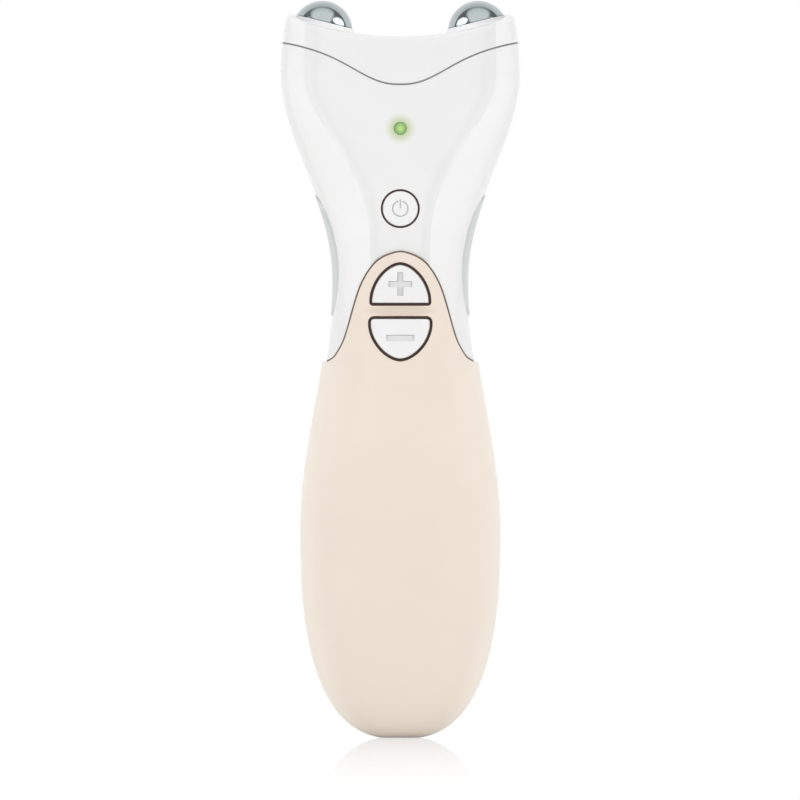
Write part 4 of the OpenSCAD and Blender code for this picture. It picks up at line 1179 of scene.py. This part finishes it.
def electrode(side):
    steps, chamfer = 40, 0.2
    first = math.asin((-CAP_WALL - DOME_Z) / DOME_R)
    dome = [(DOME_R * math.cos(a), DOME_Z + DOME_R * math.sin(a))
            for a in (between(first, math.pi / 2, k / steps) for k in range(steps + 1))]
    dome[-1] = (0, DOME_Z + DOME_R)
    profile = [(0, STEM_LOW), (STEM_R - chamfer, STEM_LOW), (STEM_R, STEM_LOW + chamfer),
               (STEM_R, SHOULDER_LOW), (SHOULDER_R, SHOULDER_LOW), (SHOULDER_R, -CAP_WALL)] + dome
    piece = set_at_dome(lathe(hand_of(side) + "_dome", profile, 128), side)
    return stand_for(piece, hand_of(side) + "_electrode")


def collar(side):
    def bore(h):
        return math.sqrt((DOME_R + BORE_GAP) ** 2 - (h - DOME_Z) ** 2), h

    profile = [bore(-CAP_WALL), (COLLAR_R, -CAP_WALL)]
    for k in range(9):
        a = math.pi / 2 * k / 8
        profile.append((COLLAR_R - (COLLAR_R - RIM_R) * math.sin(a),
                        0.15 + (COLLAR_H - 0.25) * (1 - math.cos(a))))
    profile += [(RIM_R - 0.04, COLLAR_H - 0.03), (RIM_R - 0.1, COLLAR_H)]
    profile += [bore(between(COLLAR_H, -CAP_WALL, k / 6)) for k in range(6)]
    piece = set_at_dome(lathe(hand_of(side) + "_ring", profile, 128, closed=True), side)
    return stand_for(piece, hand_of(side) + "_collar", material=RING_MATERIAL)


# ---------------- keys

def arch(a, b, foot, r, steps=40):
    """Half a superellipse on a straight foot with rounded corners, as (x, height) points."""
    points = []
    for i in range(steps + 1):
        t = math.pi * i / steps
        x = sign(math.cos(t)) * a * abs(math.cos(t)) ** (2 / ARCH_N)
        points.append((x, foot + (b - foot) * max(0, math.sin(t)) ** (2 / ARCH_N)))
    return points + quarter(-a + r, r, r, 180, 6) + quarter(a - r, r, r, 270, 6)


def inset_outline(points, inset):
    """An outline drawn in by the same distance all round, and never past its middle."""
    out = []
    count = len(points)
    for i, (x, h) in enumerate(points):
        along = Vector(points[(i + 1) % count]) - Vector(points[i - 1])
        inward = Vector((-along[1], along[0])).normalized() * inset
        new_x = x + inward[0]
        out.append((new_x if new_x * x > 0 else 0.0, h + inward[1]))
    return out


def plus_outline(inset):
    return [(x, PLUS_Z + h) for x, h in inset_outline(
        arch(PLUS_A, PLUS_B + PLUS_FOOT, PLUS_FOOT, PLUS_CORNER), inset)]


def minus_outline(inset):
    return [(x, MINUS_Z - h) for x, h in inset_outline(
        arch(MINUS_A, MINUS_B + MINUS_FOOT, MINUS_FOOT, MINUS_CORNER), inset)]


def round_outline(inset, sides=96):
    r = POWER_HOLE_R - inset
    angles = [2 * math.pi * i / sides for i in range(sides)]
    return [(r * math.cos(a), POWER_Z + r * math.sin(a)) for a in angles]


def key(name, outline_at, surface, mid_z, proud, seal_w=SEAL_W, reach=KEY_REACH):
    """A crowned key: its cap drawn in and up in steps, a flange behind it, and its post."""
    inside = -(surface - WALL) + FIT
    cap = outline_prism(name, outline_at(seal_w + FIT), -surface + CROWN_LOW, inside + FLANGE_T)
    rise = proud + CROWN_LOW

    def draw_out(lift, factor):
        bpy.ops.mesh.extrude_region_move(TRANSFORM_OT_translate={"value": (0, -lift * MM, 0)})
        bpy.ops.transform.resize(value=(factor, 1, factor),
                                 center_override=(0, -surface * MM, mid_z * MM))

    # the crown is the front face, drawn out and in again and again
    pick(cap, lambda face: face.normal.y < -0.9)
    steps, rings = 7, 6
    for k in range(steps):
        before, now = math.pi / 2 * k / steps, math.pi / 2 * (k + 1) / steps
        draw_out(rise * CROWN_EDGE_SHARE * (math.sin(now) - math.sin(before)),
                 1 - CROWN_EDGE * (math.cos(before) - math.cos(now)) / reach)
    for k in range(rings):
        before, now = 1 - k / (rings + 1), 1 - (k + 1) / (rings + 1)
        draw_out(rise * (1 - CROWN_EDGE_SHARE) * (before ** 2 - now ** 2), now / before)
    bpy.ops.mesh.poke()
    mode("OBJECT")
    flange = outline_prism(name + "_flange", outline_at(-FLANGE_W), inside, inside + FLANGE_T)
    post = rod(name + "_post", 0, mid_z, inside + 0.5, POST_Y, POST_R)
    return join(cap, flange, post)


def engraved_bar(w, h, mid_z, face_y):
    """The tool for a bar of a sign: it widens from the sign's floor to the face and on."""
    tool = block("bar", (0, face_y, mid_z), (w, 2 * SIGN_DEPTH, h))
    for turned_to, grown in ((-1, SIGN_DRAFT), (1, -SIGN_DRAFT)):
        pick(tool, lambda face: face.normal.y * turned_to > 0.9)
        bpy.ops.transform.resize(value=(1 + 2 * grown / w, 1, 1 + 2 * grown / h),
                                 center_override=(0, face_y * MM, mid_z * MM))
    mode("OBJECT")
    return tool


def plus_button():
    piece = key("raise_key", plus_outline, TONGUE_D, PLUS_MID_Z, KEY_PROUD)
    face = front_of(piece)
    upright = engraved_bar(SIGN_LINE, PLUS_SIGN_L, PLUS_SIGN_Z, face)
    level = engraved_bar(PLUS_SIGN_L, SIGN_LINE, PLUS_SIGN_Z, face)
    combine(level, upright, "UNION")
    cut(piece, level)
    stand_for(piece, "plus_button", angle=25)
    paint_sign_shade(piece, face, PLUS_SIGN_Z, PLUS_SIGN_L / 2, SIGN_DEPTH)


def minus_button():
    piece = key("lower_key", minus_outline, TONGUE_D, MINUS_MID_Z, KEY_PROUD)
    face = front_of(piece)
    cut(piece, engraved_bar(MINUS_SIGN_L, SIGN_LINE, MINUS_SIGN_Z, face))
    stand_for(piece, "minus_button", angle=25)
    paint_sign_shade(piece, face, MINUS_SIGN_Z, MINUS_SIGN_L / 2, SIGN_DEPTH)


def paint_sign_shade(piece, face, mid_z, reach, depth, floor_material=SIGN_FLOOR_SHADE_MATERIAL):
    """Painted shade in a moulded sign: its floor is matt and a shade darker than the key,
    and its walls, but for those that face up, grey."""
    piece.data.materials.append(floor_material)
    piece.data.materials.append(SIGN_DARK_SHADE_MATERIAL)
    for polygon in piece.data.polygons:
        x, y, z = polygon.center / MM
        if math.hypot(x, z - mid_z) > reach + 0.12 or y > face + depth + 0.02:
            continue
        if polygon.normal.y < -0.95 and y > face + depth - 0.02:
            polygon.material_index = 1
        elif abs(polygon.normal.y) < 0.7:
            polygon.material_index = 2 if polygon.normal.z < 0.4 else 1


def front_of(piece):
    return min(v.co.y for v in piece.data.vertices) / MM


def power_button():
    piece = key("power_key", round_outline, POWER_D, POWER_Z, POWER_PROUD, POWER_SEAL_W,
                POWER_HOLE_R)
    face = front_of(piece)
    ring = rod("ring", 0, POWER_Z, face - 1, face + POWER_SIGN_DEPTH, POWER_SIGN_R, 96)
    cut(ring, rod("ring_hole", 0, POWER_Z, face - 2, face + 1, POWER_SIGN_IN_R, 96),
        block("gap", (0, face - 1, POWER_Z + 2), (POWER_GAP_W, 4, 2)))
    cut(piece, ring, block("bar", (0, face - 1 + POWER_SIGN_DEPTH, POWER_Z + POWER_BAR_UP),
                           (POWER_SIGN_LINE, 2, POWER_BAR_L)))
    stand_for(piece, "power_button", angle=25)
    # the power symbol's floor takes the grey: painted shade in its shallow recess
    paint_sign_shade(piece, face, POWER_Z, POWER_SIGN_R + 0.4, POWER_SIGN_DEPTH, SIGN_DARK_SHADE_MATERIAL)


def seal(name, node_name, outline_at, surface, width=SEAL_W):
    """A dark rubber ring that fills the gap round a key, just below the skin, so its dark colour
    also paints the shade of that gap.
    """
    piece = outline_prism(name, outline_at(0.02), -surface + 0.12, -surface + 1.72)
    cut(piece, outline_prism("seal_hole", outline_at(width), -surface - 1, -surface + 3))
    bevel(piece, 0.1, 2)
    return stand_for(piece, node_name)


# ---------------- indicator

def indicator_lens():
    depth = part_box("indicator_lens")[1][1] / MM + LED_D
    steps = 10
    dome = [(LED_R * math.cos(a), LENS_CROWN * math.sin(a))
            for a in (math.pi / 2 * k / steps for k in range(steps + 1))]
    dome[-1] = (0, LENS_CROWN)
    flange, wide = WALL + 0.05, LED_R + LENS_FLANGE
    profile = [(0, -depth), (LED_R, -depth), (LED_R, -flange - LENS_FLANGE),
               (wide, -flange - LENS_FLANGE), (wide, -flange), (LED_R, -flange)] + dome
    piece = moved(lathe("green_light", profile, 64), 0, -LED_D, LED_Z, math.pi / 2, "X")
    clean(piece)
    return stand_for(piece, "indicator_lens")


# ---------------- the parts inside

def finish_cad_nodes():
    """Give every node that stays its material."""
    for name, piece in frame["nodes"].items():
        material = MATERIALS[SLOT_OF[name]]
        piece.data.materials.clear()
        piece.data.materials.append(material)


# ---------------- stage, light and camera

def camera():
    data = bpy.data.cameras.new("camera")
    data.sensor_width = SENSOR
    data.lens = SENSOR * CAMERA_D / (PICTURE * PIXEL)
    data.clip_end = 50
    eye = bpy.data.objects.new("camera", data)
    eye.location = Vector((VIEW_X, -CAMERA_D, VIEW_Z)) * MM
    eye.rotation_euler = (math.pi / 2, 0, 0)
    bpy.context.scene.collection.objects.link(eye)
    bpy.context.scene.camera = eye


def seen_by(tree, *rays):
    """1 for the kinds of ray that are named, else 0."""
    path = tree.nodes.new("ShaderNodeLightPath")
    seen = path.outputs[rays[0]]
    for ray in rays[1:]:
        seen = math_node(tree, "MAXIMUM", seen, path.outputs[ray])
    return seen


def product(tree, *factors):
    made = factors[0]
    for factor in factors[1:]:
        made = math_node(tree, "MULTIPLY", made, factor)
    return made


def studio_seen_in_metal(tree):
    """What polished metal shows: the white backdrop, dimmer high up, a large soft box
    overhead with rounded corners, and the dark studio between them."""
    way = tree.nodes.new("ShaderNodeSeparateXYZ")
    tree.links.new(tree.nodes.new("ShaderNodeTexCoord").outputs["Generated"], way.inputs["Vector"])
    x, y, z = (way.outputs[axis] for axis in "XYZ")
    high = product(tree, spread(tree, z, 0, 1, 0.45, 0.95), spread(tree, y, 0.36, 0, 0.24, 0.8))
    backdrop = product(tree, spread(tree, y, 0, 1, 0.25, 0.29),
                       math_node(tree, "SUBTRACT", 1.0, high))
    half = math_node(tree, "SUBTRACT", math_node(tree, "MULTIPLY", z, BOX_HALF),
                     math_node(tree, "MULTIPLY", y, BOX_WIDENS))
    aside = math_node(tree, "DIVIDE", math_node(tree, "ABSOLUTE", x, 0),
                      math_node(tree, "MAXIMUM", half, 0.02))
    back = spread(tree, y, 0, 2, -0.45, 0.85)
    reach = math_node(tree, "ADD", math_node(tree, "POWER", aside, BOX_CORNER),
                      math_node(tree, "POWER", back, BOX_CORNER))
    box = product(tree, spread(tree, reach, BOX_LIGHT, 0, 0.5, 1.5),
                  spread(tree, y, 1, BOX_BACK_LIGHT, -0.3, 0.15))
    return spread(tree, math_node(tree, "MAXIMUM", backdrop, box), STUDIO_DIM,
                  BOX_LIGHT * (1 - STUDIO_DIM) + STUDIO_DIM, 0, BOX_LIGHT)


def surround():
    world = bpy.data.worlds.new("studio")
    bpy.context.scene.world = world
    world.use_nodes = True
    tree = world.node_tree
    light = tree.nodes["Background"]
    light.inputs["Color"].default_value = (1, 1, 1, 1)
    light.inputs["Strength"].default_value = 0.5
    white = node(tree, "ShaderNodeBackground", Color=(1, 1, 1, 1), Strength=1.0)
    plain = seen_by(tree, "Is Camera Ray", "Is Transmission Ray")
    tree.links.new(math_node(tree, "MAXIMUM", plain, studio_seen_in_metal(tree)),
                   white.inputs["Strength"])
    mix = mixed(tree, seen_by(tree, *STUDIO_RAYS), light, white)
    tree.links.new(mix.outputs[0], tree.nodes["World Output"].inputs["Surface"])


def floor():
    bpy.ops.mesh.primitive_plane_add(size=12, location=(0, 0, -0.00002))
    piece = start("floor")
    settle(piece)
    material = bpy.data.materials.new("white_floor")
    material.use_nodes = True
    tree = material.node_tree
    tree.nodes.remove(tree.nodes["Principled BSDF"])
    coords = tree.nodes.new("ShaderNodeTexCoord").outputs["Object"]
    matt = node(tree, "ShaderNodeBsdfDiffuse", Color=(0.75, 0.75, 0.75, 1))
    white = node(tree, "ShaderNodeEmission", Color=(1, 1, 1, 1), Strength=1.0)
    mirror = node(tree, "ShaderNodeBsdfAnisotropic", Color=(1, 1, 1, 1), Roughness=0.01)
    lit = mixed(tree, seen_by(tree, *STUDIO_RAYS), matt, white)
    share = math_node(tree, "MULTIPLY", near(tree, coords, (0, 0, 0), 0, 990), 0.34)
    glossy = mixed(tree, share, lit, mirror)
    tree.links.new(glossy.outputs[0], tree.nodes["Material Output"].inputs["Surface"])
    piece.data.materials.append(material)


def lamp(name, place_at, size, power, shape="RECTANGLE", turn=0.0):
    """A soft box, or, where it is round, a reflector that shows in gloss alone."""
    data = bpy.data.lights.new(name, "AREA")
    data.shape = shape
    data.size, data.size_y = size
    data.energy = power
    light = bpy.data.objects.new(name, data)
    light.location = place_at
    aim = Vector((0, 0, 0.09)) - light.location
    turned = aim.to_track_quat("-Z", "Y") @ Quaternion((0, 0, 1), math.radians(turn))
    light.rotation_euler = turned.to_euler()
    light.visible_glossy = shape == "ELLIPSE"
    light.visible_diffuse = shape != "ELLIPSE"
    bpy.context.scene.collection.objects.link(light)


def lights():
    for hand, name in ((-1, "left"), (1, "right")):
        lamp(name + "_light", (hand * 0.95, -0.68, 0.16), (0.6, 0.8), 7.0)
        lamp(name + "_reflector", (hand * 0.96, -0.26, 0.71), (0.97, 0.55), 2.5,
             "ELLIPSE", -27 * hand)
    lamp("top_light", (0.0, 0.1, 1.1), (0.7, 0.7), 3.0)
    lamp("back_light", (0.0, 1.0, 0.6), (0.9, 0.6), 2.6)


# ---------------- the making

camera()
surround()
lights()
floor()

front_shell()
rear_shell()
head_cap()
front_grip()
rear_grip()
battery_cover()
for hand in (-1, 1):
    side_inlay(hand)
    electrode(hand)
    collar(hand)
# the seam gaskets lie just below the skin: their dark colour also paints the shade of the gaps
gasket("line_below_cap", "cap_gasket", -CAP_LINE / 2 + 0.01, CAP_LINE / 2 - 0.01, cap_ring)
gasket("line_round_grip", "grip_gasket", GRIP_LINE_LOW + 0.01, SEAM - 0.01, grip_ring)
power_button()
plus_button()
minus_button()
seal("power_line", "power_seal", round_outline, POWER_D, POWER_SEAL_W)
seal("raise_line", "plus_seal", plus_outline, TONGUE_D)
seal("lower_line", "minus_seal", minus_outline, TONGUE_D)
indicator_lens()
finish_cad_nodes()

scene = bpy.context.scene
scene.view_settings.view_transform = "Standard"
bpy.context.view_layer.update()


def plain(box):
    return [[float(c) for c in corner] for corner in box]
